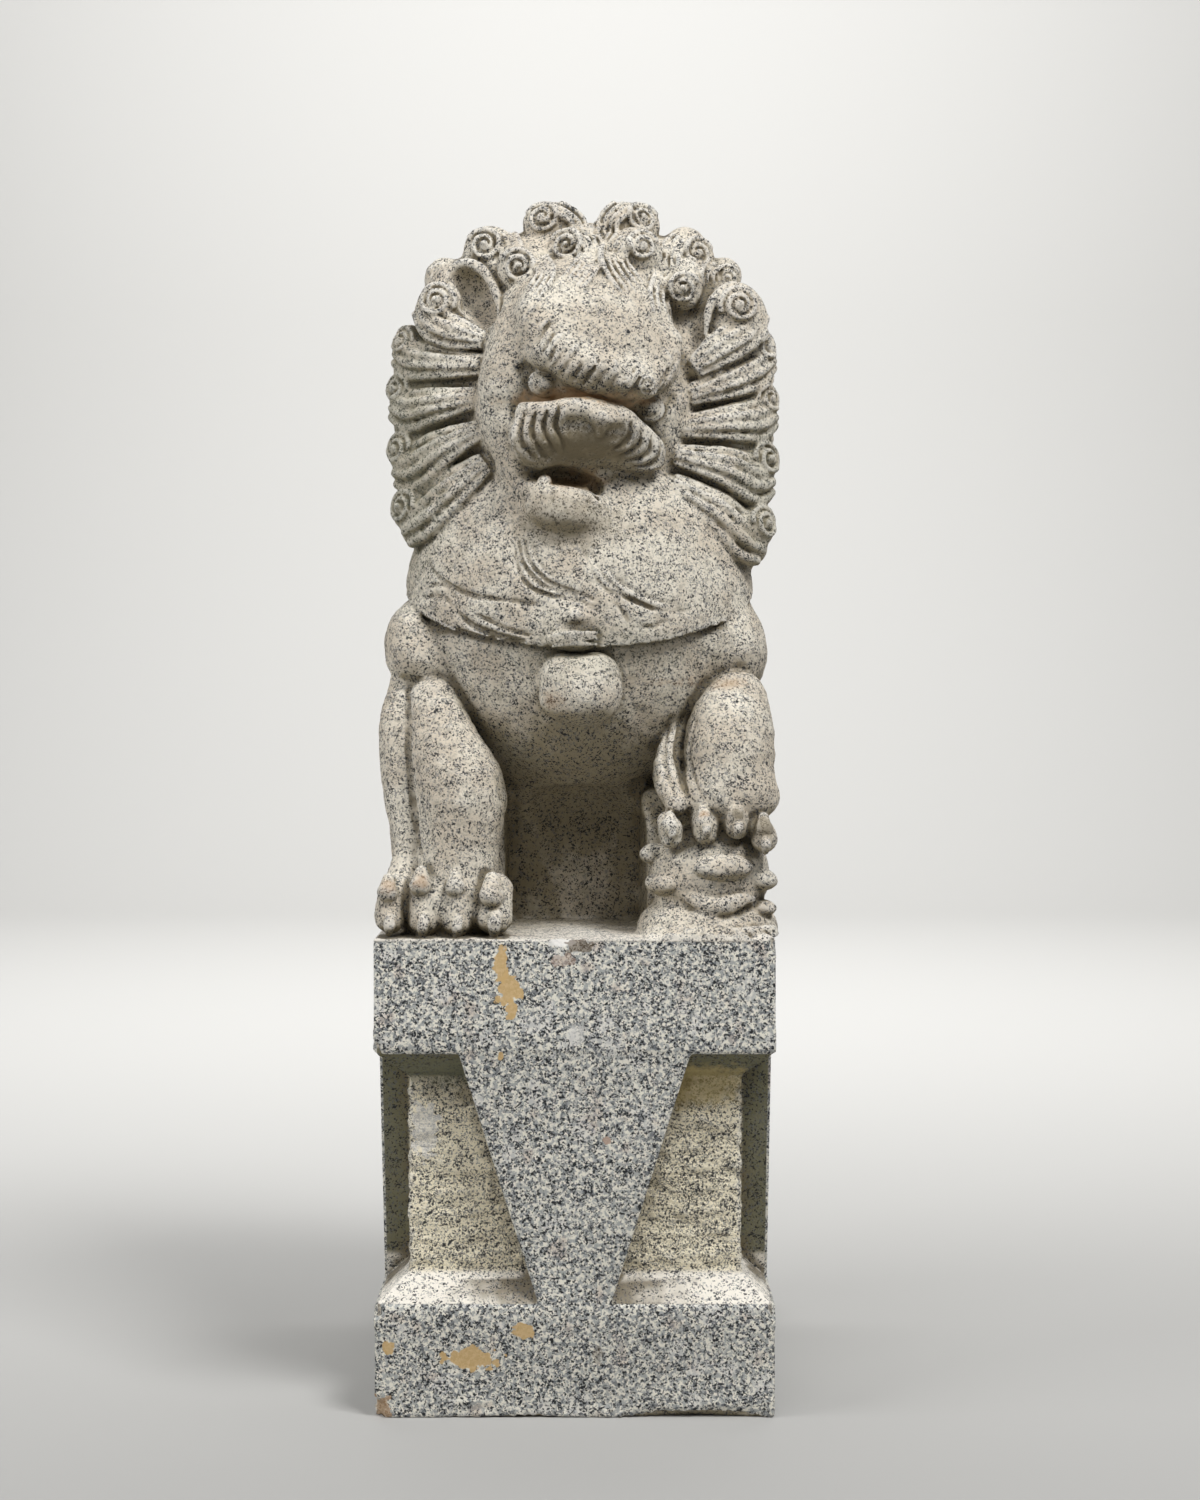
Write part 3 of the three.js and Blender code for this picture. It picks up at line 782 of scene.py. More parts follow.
@dataclass(frozen=True)
class RaisedLeg:
    """The foreleg whose paw rests on the ball.

    A toe is its x, z, half breadth and height.
    """

    column: Sequence[Point] = ((91, -72, 396), (88, -82, 380), (87, -87, 364), (88, -90, 346))
    tuft: Sequence[Point] = ((59, -66, 384), (53, -80, 366), (52, -93, 352), (57, -103, 340))
    paw: Round = Round((86, -94, 344), (29, 19, 17))
    crease: Sequence[Point] = ((76, -100, 412), (92, -104, 409), (108, -92, 413))
    groove: Sequence[Spot] = ((54, 388), (50, 366), (56, 345))
    toe_front: float = -118
    toe_length: float = 15
    toes: Sequence[tuple[float, float, float, float]] = (
        (53.5, 319, 7, 12), (72.5, 321, 7.5, 13), (90, 322, 7.5, 15), (105.5, 313, 7.5, 17),
    )

    def carve(self, stone: Stone) -> None:
        """Adds the leg to the stone.

        Args:
            stone: The block that is carved.
        """
        stone.add(rope(self.column, [19, 25, 26, 21], 9), 2.5)
        stone.add(self.paw, 9)
        stone.add(rope(self.tuft, [5, 7.5, 8, 7], 8), 3)
        for shift in (0, 7, 14):
            stone.engrave([(x + shift, -CLEAR, z) for x, z in self.groove], TO_BACK, 3, 1.3)
        stone.cut(Strand(self.crease, [2, 3.5, 2.5]), 4)
        for x, z, half, tall in self.toes:
            Toe((x, self.toe_front, z), half, tall, self.toe_length).carve(stone)


@dataclass(frozen=True)
class Ball:
    """The ball under the raised paw: bosses, a wavy band and ribbons that run down to the plinth."""

    at: Point = (76, -86, 299)
    bosses: Sequence[tuple[Point, Point, float]] = (
        ((82, -112, 305), (17, 10, 8), 4),
        ((49, -101, 295), (12, 8, 6.5), -50),
        ((45, -90, 311), (7, 9, 6), -70),
        ((104, -99, 297), (9, 10, 6.5), 55),
        ((104, -97, 281), (8, 10, 5), 55),
        ((62, -60, 300), (20, 10, 10), 20),
    )
    band: Sequence[Point] = (
        (58, -107, 290), (67, -112, 287), (75, -114, 283), (84, -115, 284), (92, -112, 287), (99, -107, 287),
    )

    def around(self, degrees: float, reach: float, height: float) -> np.ndarray:
        """A place round the ball's upright axis, counted from the front to the viewer's right."""
        a = math.radians(degrees)
        return np.array([self.at[0] + reach * math.sin(a), self.at[1] - reach * math.cos(a), height])

    def carve(self, stone: Stone) -> None:
        """Adds the ball to the stone.

        Args:
            stone: The block that is carved.
        """
        x, y, z = self.at
        stone.add(Round(self.at, (34, 30, 31)), 2)
        stone.add(Round((x - 1, y + 1, PLINTH_TOP + 2), (40, 37, 22)), 5)
        for at, radii, turn in self.bosses:
            stone.add(Round(at, radii, (0, 0, turn)), 1.0)
        stone.add(rope(self.band, [2, 4.6, 5.6, 5.6, 4.6, 2], 14), 0.8)
        middle = np.array([x, y, PLINTH_TOP - 20])
        for i, degrees in enumerate(range(-84, 100, 16)):
            ends = (degrees * 0.6, z - 15), (degrees * 0.85, z - 22), (degrees * 1.02, PLINTH_TOP + 1)
            route = curve_through([self.around(turn, 60, height) for turn, height in ends], 8)
            way = unit(middle - self.around(degrees, 60, PLINTH_TOP + 10))
            stone.ridge(route, way, spread([1.5, 3.8, 4.5 + i % 2, 3.5], 8), 0.45, 1.0)


@dataclass(frozen=True)
class Collar:
    """The hair on the chest down to the collar, with its lines, the knot and the bell.

    A line of the hair is its breadth, its depth and the places that it passes in the front view.
    """

    front: float = -108
    height: float = 427
    rise: float = 0.56
    proud: float = 3.8
    bell: Block = Block((-20, -119, 386), (25.5, -84, 424.5), 14.5)
    swell: Round = Round((5, -105, 402), (21, 17.5, 18.5))
    knot: Round = Round((-2, -107, 431), (14, 7, 6), (0, 4, 0))
    hair: Sequence[tuple[float, float, Sequence[Spot]]] = (
        (2.8, 1.3, [(-33, 481), (-31, 470), (-27, 463), (-19, 458), (-8, 455), (3, 453), (12, 449)]),
        (2.8, 1.4, [(-31, 486), (-29, 475), (-24, 468), (-18, 462), (-7, 458), (3, 455)]),
        (2.8, 1.4, [(-28, 488), (-26, 477), (-20, 469), (-13, 463), (0, 458), (10, 454)]),
        (2.4, 0.9, [(-24, 488), (-22, 479), (-17, 471), (-9, 465)]),
        (2.8, 1.4, [(-83, 476), (-79, 469), (-71, 463), (-59, 457), (-42, 454), (-20, 451)]),
        (2.6, 1.0, [(-86, 460), (-80, 463), (-73, 462), (-67, 455)]),
        (2.6, 1.1, [(-87, 455), (-80, 457), (-73, 455), (-69, 450)]),
        (3.4, 1.8, [(-66, 447), (-56, 439), (-42, 434), (-28, 431)]),
        (3.0, 1.4, [(-56, 446), (-47, 442), (-36, 437), (-25, 434)]),
        (2.6, 1.1, [(-75, 442), (-62, 436), (-45, 432)]),
        (2.8, 0.9, [(8, 484), (12, 473), (18, 465), (26, 458), (36, 452), (48, 448), (62, 447)]),
        (2.6, 0.8, [(14, 476), (21, 468), (31, 460), (42, 455), (54, 451)]),
        (2.6, 1.0, [(18, 460), (31, 454), (45, 448)]),
        (2.4, 0.9, [(5, 481), (9, 470), (16, 461), (27, 452)]),
        (2.8, 1.2, [(23, 452), (28, 445), (31, 440)]),
        (2.4, 0.8, [(36, 439), (45, 439), (52, 443)]),
    )

    def carve(self, stone: Stone, body: Body) -> None:
        """Adds the collar to the stone.

        Args:
            stone: The block that is carved.
            body: The body, whose chest the hair lies on.
        """
        chest = Round(body.chest_at, tuple(r + self.proud for r in body.chest))
        edge = [((0, self.rise, -1), -self.height + self.rise * self.front)]
        stone.add(Slopes(*chest.reach(), edge, chest), 0.5)
        self.crease(stone, body, -95, -17, 2.7)
        self.crease(stone, body, 27, 92, 1.7)
        self.lines(stone)
        stone.add(self.bell, 1.2)
        stone.add(self.swell, 3)
        stone.add(self.knot, 1.0)
        for lift in (-2.5, 0.5, 3.5):
            ends = [(-12, -111.5, 430.5 + lift), (0, -114.5, 431.5 + lift), (12, -112.5, 431.5 + lift)]
            stone.add(Strand(ends, [1.0, 1.6, 1.2]), 0.5)
        stone.add(Strand([(-13, -106, 443), (0, -109, 445), (14, -107, 443)], [1.5, 4, 1.5]), 2)
        stone.cut(Strand([(-24, -110, 427), (-15, -117, 424)], [2.5, 2.5]), 1.0)

    def crease(self, stone: Stone, body: Body, start: float, end: float, breadth: float) -> None:
        """Undercuts the collar's lower edge where its plane meets the chest.

        Args:
            stone: The block that is carved.
            body: The body, whose chest the edge goes round.
            start: The x where the crease begins.
            end: The x where it ends.
            breadth: Half its breadth.
        """
        (cx, cy, cz), (a, b, c) = body.chest_at, body.chest
        route = []
        for x in np.linspace(start, end, 24):
            depth = np.linspace(self.front - 8, cy, 200)
            height = self.height + self.rise * (depth - self.front)
            share = ((x - cx) / a) ** 2 + ((depth - cy) / b) ** 2 + ((height - cz) / c) ** 2
            k = int(np.argmin(np.abs(share - 1)))
            route.append((x, depth[k], height[k] - 0.8 * breadth))
        stone.cut(Strand(route, list(breadth * spread([0.5, 1, 1, 1, 0.4], len(route)))), 0.8)

    def lines(self, stone: Stone) -> None:
        """The carved hair lines and folds.

        Args:
            stone: The block that is carved.
        """
        for breadth, depth, line in self.hair:
            stone.engrave([(x, -CLEAR, z) for x, z in line], TO_BACK, breadth, depth, 20)


@dataclass(frozen=True)
class Lock:
    """A lock of hair: flutes side by side along a route, with a snail curl beside its tip."""

    route: Sequence[Point]
    half: Sequence[float]
    curl: Point
    size: float
    out: Point
    out_at_tip: Point
    flutes: int = 3
    start: float = 0.0
    turns: float = 1.8

    def carve(self, stone: Stone) -> None:
        """Adds the lock to the stone.

        Args:
            stone: The block that is carved.
        """
        count = 12
        middle = curve_through(self.route, count)
        half = spread(self.half, count)
        ways = np.gradient(middle, axis=0)
        share = np.linspace(0, 1, count)[:, None]
        facing = np.asarray(self.out) * (1 - share) + np.asarray(self.out_at_tip) * share
        sides = np.array([unit(np.cross(w, f)) for w, f in zip(ways, facing)])
        outs = np.array([unit(np.cross(s, w)) for s, w in zip(sides, ways)])
        for deep, wide in ((0.75, 0.72), (1.5, 0.85)):
            stone.add(Strand(list(middle - deep * half[:, None] * outs), list(wide * half)), 3.0)
        for i in range(self.flutes):
            side = -1 + (2 * i + 1) / self.flutes
            line = middle + (0.9 * side * half)[:, None] * sides - (0.4 * side**2 * half)[:, None] * outs
            stone.add(Strand(list(line), list(0.98 * half / self.flutes)), 1.0)
        hand = LEFT if self.curl[0] < 0 else RIGHT
        Curl(self.curl, self.size, self.out_at_tip, self.start, hand, self.turns, 0.2).carve(stone)


@dataclass(frozen=True)
class Whorl:
    """A snail curl of the crown with strands that trail from it, by their places in the front view."""

    at: Spot
    size: float
    trail: Sequence[Spot]
    width: float
    strands: int
    hand: int

    def carve(self, stone: Stone) -> None:
        """Lays the curl and its strands on the stone.

        Args:
            stone: The block that is carved.
        """
        trail = curve_through([(x, 0, z) for x, z in self.trail], 8)
        sides = np.array([unit(np.cross(w, TO_FRONT)) for w in np.gradient(trail, axis=0)])
        for i in range(self.strands):
            share = -1 + (2 * i + 1) / self.strands
            line = [self.drop(stone, p) for p in trail + share * self.width * sides]
            thick = self.width / self.strands * np.array([1.05, 1.1, 1.1, 1.1, 1, 0.95, 0.85, 0.6])
            rise = 0.75 * thick * np.array([0.6, 1, 1, 1, 1, 0.8, 0.5, -0.5])
            kept = [k for k, p in enumerate(line) if p[1] > FRONT]
            if len(kept) > 1:
                raised = [line[k] + rise[k] * np.array([0, -1, 0.4]) for k in kept]
                stone.add(Strand(raised, list(thick[kept])), 0.8)
        place = self.drop(stone, np.array([self.at[0], 0, self.at[1]]))
        out = unit(stone.facing(place) + np.array([0, -1.6, 0.5]))
        sunk = place - 0.15 * self.size * out
        Curl(sunk, self.size, out, 90 - 60 * self.hand, self.hand, 2.0, 0.16).carve(stone)

    def drop(self, stone: Stone, p: Point) -> np.ndarray:
        """The place on the stone that stands at p in the front view."""
        return stone.touch((p[0], FRONT - 10, p[2]), TO_BACK, 130)


@dataclass(frozen=True)
class Wisp:
    """A lock beside the face: its route from the cheek outwards, half breadths, and the curl at its tip."""

    route: Sequence[Point]
    half: Sequence[float]
    curl: Point
    size: float


@dataclass(frozen=True)
class Mane:
    """The round mass of hair behind the face: locks at its sides, snail curls above and behind.

    A row of curls at the back is its height over the middle, its count and the curls' size.
    """

    masses: Sequence[tuple[Point, Point]] = (
        ((4, -24, 560), (100, 62, 95)),
        ((6, -32, 634), (88, 46, 39)),
        ((2, 2, 520), (82, 58, 84)),
        ((4, -34, 540), (101, 42, 66)),
        ((4, -34, 586), (99, 40, 62)),
        ((4.5, -40, 556), (105, 22, 84)),
    )
    buns: Sequence[tuple[Point, Point]] = (
        ((-49, -48, 655), (16, 14, 16)),
        ((-11, -46, 668), (18, 15, 17)),
        ((28, -46, 669), (16, 15, 16)),
        ((63, -46, 657), (13, 14, 14)),
        ((86, -42, 644), (10, 12, 10)),
        ((-76, -42, 640), (12, 12, 14)),
        ((-29, -66, 644), (12, 12, 12)),
        ((3, -66, 655), (14, 12, 13)),
        ((32, -66, 652), (14, 12, 15)),
        ((62, -64, 636), (12, 12, 14)),
    )
    whorls: Sequence[Whorl] = (
        Whorl((-19, 674), 12, [(-8, 682), (3, 675), (8, 662)], 9, 5, 1),
        Whorl((38, 674), 12, [(27, 682), (18, 673), (16, 660)], 9, 5, -1),
        Whorl((-52, 658), 12, [(-40, 664), (-36, 653), (-39, 643)], 7, 4, 1),
        Whorl((70, 654), 11, [(60, 661), (54, 653), (53, 643)], 7, 4, -1),
        Whorl((87, 641), 8.5, [(79, 648), (75, 641), (76, 634)], 5, 3, -1),
        Whorl((-78, 641), 9, [(-68, 646), (-66, 640), (-67, 633)], 5, 3, 1),
        Whorl((-5, 655), 12, [(7, 659), (9, 647), (4, 636), (-2, 628)], 8, 5, 1),
        Whorl((-32, 643), 12, [(-20, 647), (-16, 637), (-19, 629), (-24, 622)], 6, 4, 1),
        Whorl((38, 655), 11, [(26, 659), (21, 648), (25, 637), (33, 626)], 9, 5, -1),
        Whorl((61, 631), 10.5, [(50, 637), (47, 626), (49, 614)], 7, 4, -1),
    )
    rows: Sequence[tuple[float, int, float]] = (
        (84, 3, 15),
        (52, 5, 16),
        (18, 6, 17),
        (-18, 6, 17),
        (-52, 6, 17),
    )
    right: Sequence[Wisp] = (
        Wisp(
            [(66, -77, 571), (88, -71, 580), (101, -61, 588), (108, -52, 595)],
            (7, 12, 14, 10), (104, -54, 601), 10.5,
        ),
        Wisp(
            [(60, -78, 553), (88, -71, 556), (102, -62, 558), (109, -53, 563)],
            (7, 12, 15, 11), (106, -53, 571), 10.5,
        ),
        Wisp(
            [(58, -79, 537), (86, -74, 531), (101, -64, 524), (107, -56, 526)],
            (7, 13, 17, 13), (105, -57, 536), 12,
        ),
        Wisp(
            [(56, -80, 520), (80, -77, 506), (95, -68, 492), (102, -62, 487)],
            (8, 14, 17, 14), (103, -62, 499), 12,
        ),
    )
    left: Sequence[Wisp] = (
        Wisp(
            [(-54, -77, 588), (-76, -71, 590), (-91, -62, 593), (-98, -54, 599)],
            (7, 11, 14, 11), (-94, -56, 604), 10,
        ),
        Wisp(
            [(-58, -78, 569), (-80, -71, 566), (-93, -62, 564), (-100, -54, 568)],
            (7, 12, 15, 11), (-98, -53, 577), 10.5,
        ),
        Wisp(
            [(-56, -79, 551), (-77, -74, 541), (-91, -65, 531), (-98, -57, 531)],
            (7, 13, 17, 13), (-97, -57, 542), 11.5,
        ),
        Wisp(
            [(-52, -81, 532), (-70, -78, 518), (-85, -70, 504), (-93, -62, 497)],
            (8, 14, 17, 14), (-94, -62, 508), 12,
        ),
    )

    def carve(self, stone: Stone) -> None:
        """Adds the mane to the stone."""
        for at, radii in self.masses:
            stone.add(Round(at, radii), 8)

    def locks(self, stone: Stone) -> None:
        """The locks that fan out round the face.

        Args:
            stone: The block that is carved.
        """
        for wisps, side in ((self.right, RIGHT), (self.left, LEFT)):
            out, tip, start = (0.35 * side, -1, 0.1), (0.75 * side, -0.7, 0.15), 90 - 90 * side
            for above, below in zip(wisps[:-1], wisps[1:]):
                route = (np.asarray(above.route) + np.asarray(below.route)) / 2 + np.array([side * 2, 9, 0])
                Lock(route, (8, 11, 12, 9), route[-1] + (0, 0, 6), 8, out, tip, 3, start).carve(stone)
            for wisp in wisps:
                route = np.asarray(wisp.route) + np.outer((0, 1, 3, 5), (side, 0, 0))
                curl = np.add(wisp.curl, (5 * side, 0, 0))
                Lock(route, wisp.half, curl, wisp.size, out, tip, 4, start, 2.0).carve(stone)

    def crown(self, stone: Stone) -> None:
        """The curls over the brow and along the crown, as the front view shows them.

        Args:
            stone: The block that is carved.
        """
        for at, radii in self.buns:
            stone.add(Round(at, radii), 4)
        for whorl in self.whorls:
            whorl.carve(stone)

    def back(self, stone: Stone) -> None:
        """Plainer rows of snail curls round the back of the mane.

        Args:
            stone: The block that is carved.
        """
        middle = np.array([4.0, -24.0, 560.0])
        for row, (height, count, size) in enumerate(self.rows):
            for i in range(count):
                turn = math.radians(118 + (i + 0.5 * (row % 2)) * 124 / max(count - 1 + 0.5 * (row % 2), 1))
                way = np.array([math.sin(turn), -math.cos(turn), 0.0])
                start = middle + way * 150 + np.array([0, 0, height])
                at = stone.touch(start, -way)
                out = unit(at - middle + np.array([0, 0, 20.0]))
                Curl(at, size, out, 90, 1 if i % 2 else -1).carve(stone)


@dataclass(frozen=True)
class Ear:
    """A cupped leaf: a shell with a hollow behind a thick rim, and a lock that curls up in front of it."""

    shell: Round
    hollow: Round
    rim: Sequence[Point]
    wisp: Wisp
    side: int
    start: float

    def carve(self, stone: Stone) -> None:
        """Adds the ear and its lock to the stone.

        Args:
            stone: The block that is carved.
        """
        stone.add(self.shell, 4)
        stone.cut(self.hollow, 2)
        stone.add(rope(self.rim, [1.5, 2.8, 3.2, 3.0, 1.8], 16), 1.5)
        wisp, out = self.wisp, (0.25 * self.side, -1, 0.1)
        Lock(wisp.route, wisp.half, wisp.curl, wisp.size, out, out, 4, self.start, 2.2).carve(stone)


EARS = (
    Ear(
        Round((-60, -56, 626), (18, 15, 26), (0, -38, 0)),
        Round((-57, -73, 628), (13, 16, 22), (0, -40, 0)),
        [
            (-76, -58, 640), (-70, -62, 645), (-62, -65, 647), (-54, -68, 643),
            (-47, -71, 634), (-43, -74, 623), (-42, -77, 611),
        ],
        Wisp(
            [(-53, -78, 602), (-68, -75, 606), (-81, -70, 612), (-88, -65, 622)],
            (6, 11, 12, 8), (-79, -68, 625), 12.5,
        ),
        LEFT,
        200,
    ),
    Ear(
        Round((88, -58, 614), (21, 14, 24), (0, 25, 0)),
        Round((76, -82, 614), (5, 9, 16), (0, 14, 0)),
        [(74, -73, 606), (75, -72, 615), (78, -71, 624), (84, -68, 631), (91, -64, 634), (100, -60, 630)],
        Wisp(
            [(68, -78, 586), (84, -75, 598), (98, -69, 608), (106, -62, 620)],
            (7, 12, 12, 8), (93, -70, 622), 13,
        ),
        RIGHT,
        -20,
    ),
)


@dataclass(frozen=True)
class HeadPlace:
    """The head's own frame, from between the eyes: u to the viewer's right, v up, w out of the face."""

    at: Point = (11.5, -105, 567)
    turn: float = 14
    roll: float = 11
    dip: float = 5

    def matrix(self) -> Matrix:
        """The frame's axes as the columns of a matrix.

        Returns:
            A turn from the head's axes to the statue's.
        """
        upright = Matrix(((1, 0, 0), (0, 0, -1), (0, 1, 0)))
        turn, roll, dip = (math.radians(a) for a in (self.turn, self.roll, self.dip))
        turned = Matrix.Rotation(turn, 3, "Z") @ Matrix.Rotation(roll, 3, "Y") @ Matrix.Rotation(dip, 3, "X")
        return turned @ upright

    def place(self, p: Point) -> np.ndarray:
        """A place in the head's frame as one in the statue's."""
        return np.array(self.matrix() @ Vector(p)) + np.asarray(self.at)

    def round(self, at: Point, radii: Point, tilt: Point = (0, 0, 0)) -> Round:
        """An ellipsoid placed in the head's frame."""
        return Round(self.place(at), radii, tilt, self.matrix())

    def strand(self, route: Sequence[Point], sizes: Sequence[float], count: int = 10) -> Strand:
        """A smooth rope of stone placed in the head's frame."""
        line = [self.place(p) for p in curve_through(route, count)]
        return Strand(line, list(spread(sizes, count)))


@dataclass(frozen=True)
class Face:
    """The face: skull, cheeks, a heavy brow, eyes, the whiskered muzzle, mouth and chin.

    All places are in the head's own frame, and clear is how far ahead of it lines start. A form of the
    skull is its place, radii, tilt and softness, a hollow its route, radii, count of places and softness,
    a tuft its route and radius, and a lobe the routes of its first and last whisker.
    """

    head: HeadPlace = HeadPlace()
    clear: float = 50
    skull: Sequence[tuple[Point, Point, Point, float]] = (
        ((-2, 24, -56), (58, 58, 58), (0, 0, 0), 4),
        ((-2, 34, -18), (47, 46, 26), (-29, 0, 0), 8),
        ((0, -18, -42), (55, 48, 40), (0, 0, 0), 8),
    )
    jaw: Sequence[Point] = ((-70, -10, -34), (-62, -38, -22), (-45, -58, -12), (-32, -68, -10))
    brow_ridge: Sequence[Point] = (
        (-44, 38, -11), (-37, 26, -5), (-29, 19, 2), (-22, 15, 7), (-9, 13.5, 11),
        (6, 13.5, 12), (20, 14, 9), (31, 17, 4), (37, 27, -2), (38, 40, -7),
    )
    under_brow: Sequence[Point] = (
        (-38, 24, -9), (-30, 14, -4), (-20, 9, 2), (-8, 6.5, 5), (6, 6.5, 6), (20, 7, 4), (31, 12, -2),
    )
    hollows: Sequence[tuple[Sequence[Point], Sequence[float], int, float]] = (
        ([(-41, 5, -7), (-33, -1, 1), (-20, -4, 5), (0, -4.5, 8)], [3, 6.5, 5.5, 4.2], 10, 3.5),
        ([(0, -4.5, 8), (18, -4.5, 7), (33, 0, 1), (43, 9, -8)], [4.2, 5, 7, 6], 10, 2.5),
        ([(46, 18, -8), (47, 36, -14), (42, 54, -22)], [5, 6, 5], 8, 6),
    )
    tufts: Sequence[tuple[Sequence[Point], float]] = (
        ([(-43, 41, -2), (-46, 33, -5), (-43, 28, -6)], 2.0),
        ([(-36, 33, 4), (-40, 25, 0), (-37, 17, -1)], 2.4),
        ([(-28, 27, 9), (-31, 19, 7), (-27, 11, 6)], 2.6),
        ([(-19, 23, 14), (-22, 16, 13), (-17, 10, 12)], 2.0),
        ([(3, 20, 18), (4, 14, 18.5), (7, 9, 17)], 1.8),
        ([(33, 33, 4), (37, 24, 4), (34, 14, 6)], 2.4),
        ([(40, 32, -1), (43, 23, -2), (39, 15, 1)], 2.0),
    )
    hairline: Sequence[Spot] = (
        (-41, 30), (-33, 19), (-24, 13), (-10, 9.5), (6, 9), (20, 9.5), (31, 13), (38, 24),
    )
    eyeballs: Sequence[Point] = ((-29.5, 0.5, -3), (32.5, 0.5, -4))
    crest: Sequence[Point] = (
        (-37, -17, -3), (-25, -15, 5), (-13, -10.5, 9), (0, -9, 10),
        (14, -9.5, 9), (28, -15, 4), (40, -20, -4),
    )
    slope: Sequence[Point] = ((-34, -29, -4), (-20, -27, -1), (0, -21, 1), (17, -21, 0), (36, -24, -4))
    upper_lip: Sequence[Point] = (
        (-30, -39, -3), (-17, -39, -5), (0, -32, -6), (17, -28, -5), (37, -28, -7),
    )
    lower_lip: Sequence[Point] = ((-25, -57, -9), (-15, -58.5, 0), (-2, -58.5, 3), (8, -59, 1), (18, -62, -7))
    whisker_count: int = 9
    lobes: Sequence[tuple[Sequence[Point], Sequence[Point]]] = (
        (((-40, -20), (-40, -33), (-29, -44)), ((-19, -9), (-17, -21), (-9, -31))),
        (((16, -10), (17, -19), (10, -27)), ((46, -18), (44, -29), (31, -35))),
    )

    def carve(self, stone: Stone) -> None:
        """Adds the face to the stone.

        Args:
            stone: The block that is carved.
        """
        head = self.head
        for at, radii, tilt, soft in self.skull:
            stone.add(head.round(at, radii, tilt), soft)
        for s in (LEFT, RIGHT):
            stone.add(head.round((s * 44, 0, -30), (17, 32, 21)), 8)
            stone.add(head.strand([(s * 37, -28, -24), (s * 25, -58, -20)], [13, 10], 3), 8)
        stone.add(head.round((-1, -67, -12), (26, 15, 24)), 6)
        stone.cut(head.strand(self.jaw, [4, 7, 6, 3], 12), 9)
        self.brow(stone)
        self.eyes(stone)
        self.muzzle(stone)
        self.whiskers(stone)
        self.mouth(stone)

    def brow(self, stone: Stone) -> None:
        """The brow stands out over the eyes like a visor, with tufts along its edge.

        Args:
            stone: The block that is carved.
        """
        head = self.head
        stone.add(head.strand(self.brow_ridge, [5, 6.5, 7, 7, 7, 7, 7, 7, 6.5, 5], 22), 9)
        stone.add(head.strand(self.under_brow, [5, 6, 6, 6, 6, 6, 5], 16), 4)
        for hollow, sizes, count, soft in self.hollows:
            stone.cut(head.strand(hollow, sizes, count), soft)
        for route, size in self.tufts:
            stone.add(head.strand(route, [0.5 * size, size, 0.5 * size], 7), 1.5)
        ahead = head.place((0, 0, 1)) - head.place((0, 0, 0))
        back = -ahead
        for i, (u, v) in enumerate(curve_through(self.hairline, 17)):
            lean, rise = (-3.5, 9) if i % 3 else (-1, 4)
            hair = [(u - lean, v + rise), (u, v + 1), (u + 0.5 * lean, v - 6)]
            places = [head.place((*q, self.clear)) for q in hair]
            stone.engrave(places, back, 2.2, 0.7 + 0.3 * (i % 4), 8)
        Curl(head.place((10, 9.5, 17.5)), 5, ahead, 200, 1, 1.4, 0.4).carve(stone)
        Curl(head.place((24, 11, 14)), 7, ahead, 200, 1, 1.8, 0.4).carve(stone)

    def eyes(self, stone: Stone) -> None:
        """Eyeballs in the shade under the brow, each with a lid round it.

        Args:
            stone: The block that is carved.
        """
        head = self.head
        for u, v, w in self.eyeballs:
            stone.cut(head.round((u, v, w + 5), (7.5, 6, 5)), 4)
            stone.add(head.round((u, v, w - 1), (6.4, 6.2, 5.6)), 1.2)
            ring = [(u + 7.6 * math.cos(a), v + 7 * math.sin(a), w) for a in np.linspace(0, 2 * math.pi, 15)]
            stone.add(Strand([head.place(p) for p in ring], [1.5] * 15), 1.2)

    def muzzle(self, stone: Stone) -> None:
        """The upper lip: a crest under the nose, from which it slopes down and back to the mouth.

        Args:
            stone: The block that is carved.
        """
        head = self.head
        stone.add(head.strand(self.crest, [5, 6, 6.5, 6.5, 6.5, 6, 5], 18), 4)
        stone.add(head.strand(self.slope, [9, 10, 10.5, 10, 8], 14), 6)
        stone.add(head.strand(self.upper_lip, [7, 7.5, 7, 7, 6.5], 14), 6)
        stone.add(head.round((3, -12, 14), (8.5, 5, 5.5)), 2)
        stone.add(head.strand([(3, -12, 15), (4, -21, 13.5)], [5, 2.2], 4), 1.5)
        for s in (LEFT, RIGHT):
            stone.cut(head.strand([(3.5 + s * 9, -9, 20), (4.5 + s * 1.5, -22, 18)], [1.4, 0.9], 4), 0.6)

    def whiskers(self, stone: Stone) -> None:
        """Ridges of hair that sweep down and inwards over the two lobes, with grooves between them.

        Args:
            stone: The block that is carved.
        """
        head = self.head
        back = head.place((0, 0, 0)) - head.place((0, 0, 1))
        for first, last in self.lobes:
            for i in range(self.whisker_count):
                t = i / (self.whisker_count - 1)
                route = curve_through(np.asarray(first) * (1 - t) + np.asarray(last) * t, 8)
                places = [head.place((u, v, self.clear)) for u, v in route]
                if i % 2:
                    stone.engrave(places, back, 2.4, 1.5, 8)
                else:
                    stone.ridge(places, back, spread([0.8, 2.2, 2.5, 0.8], 8), 0.3, 0.6)

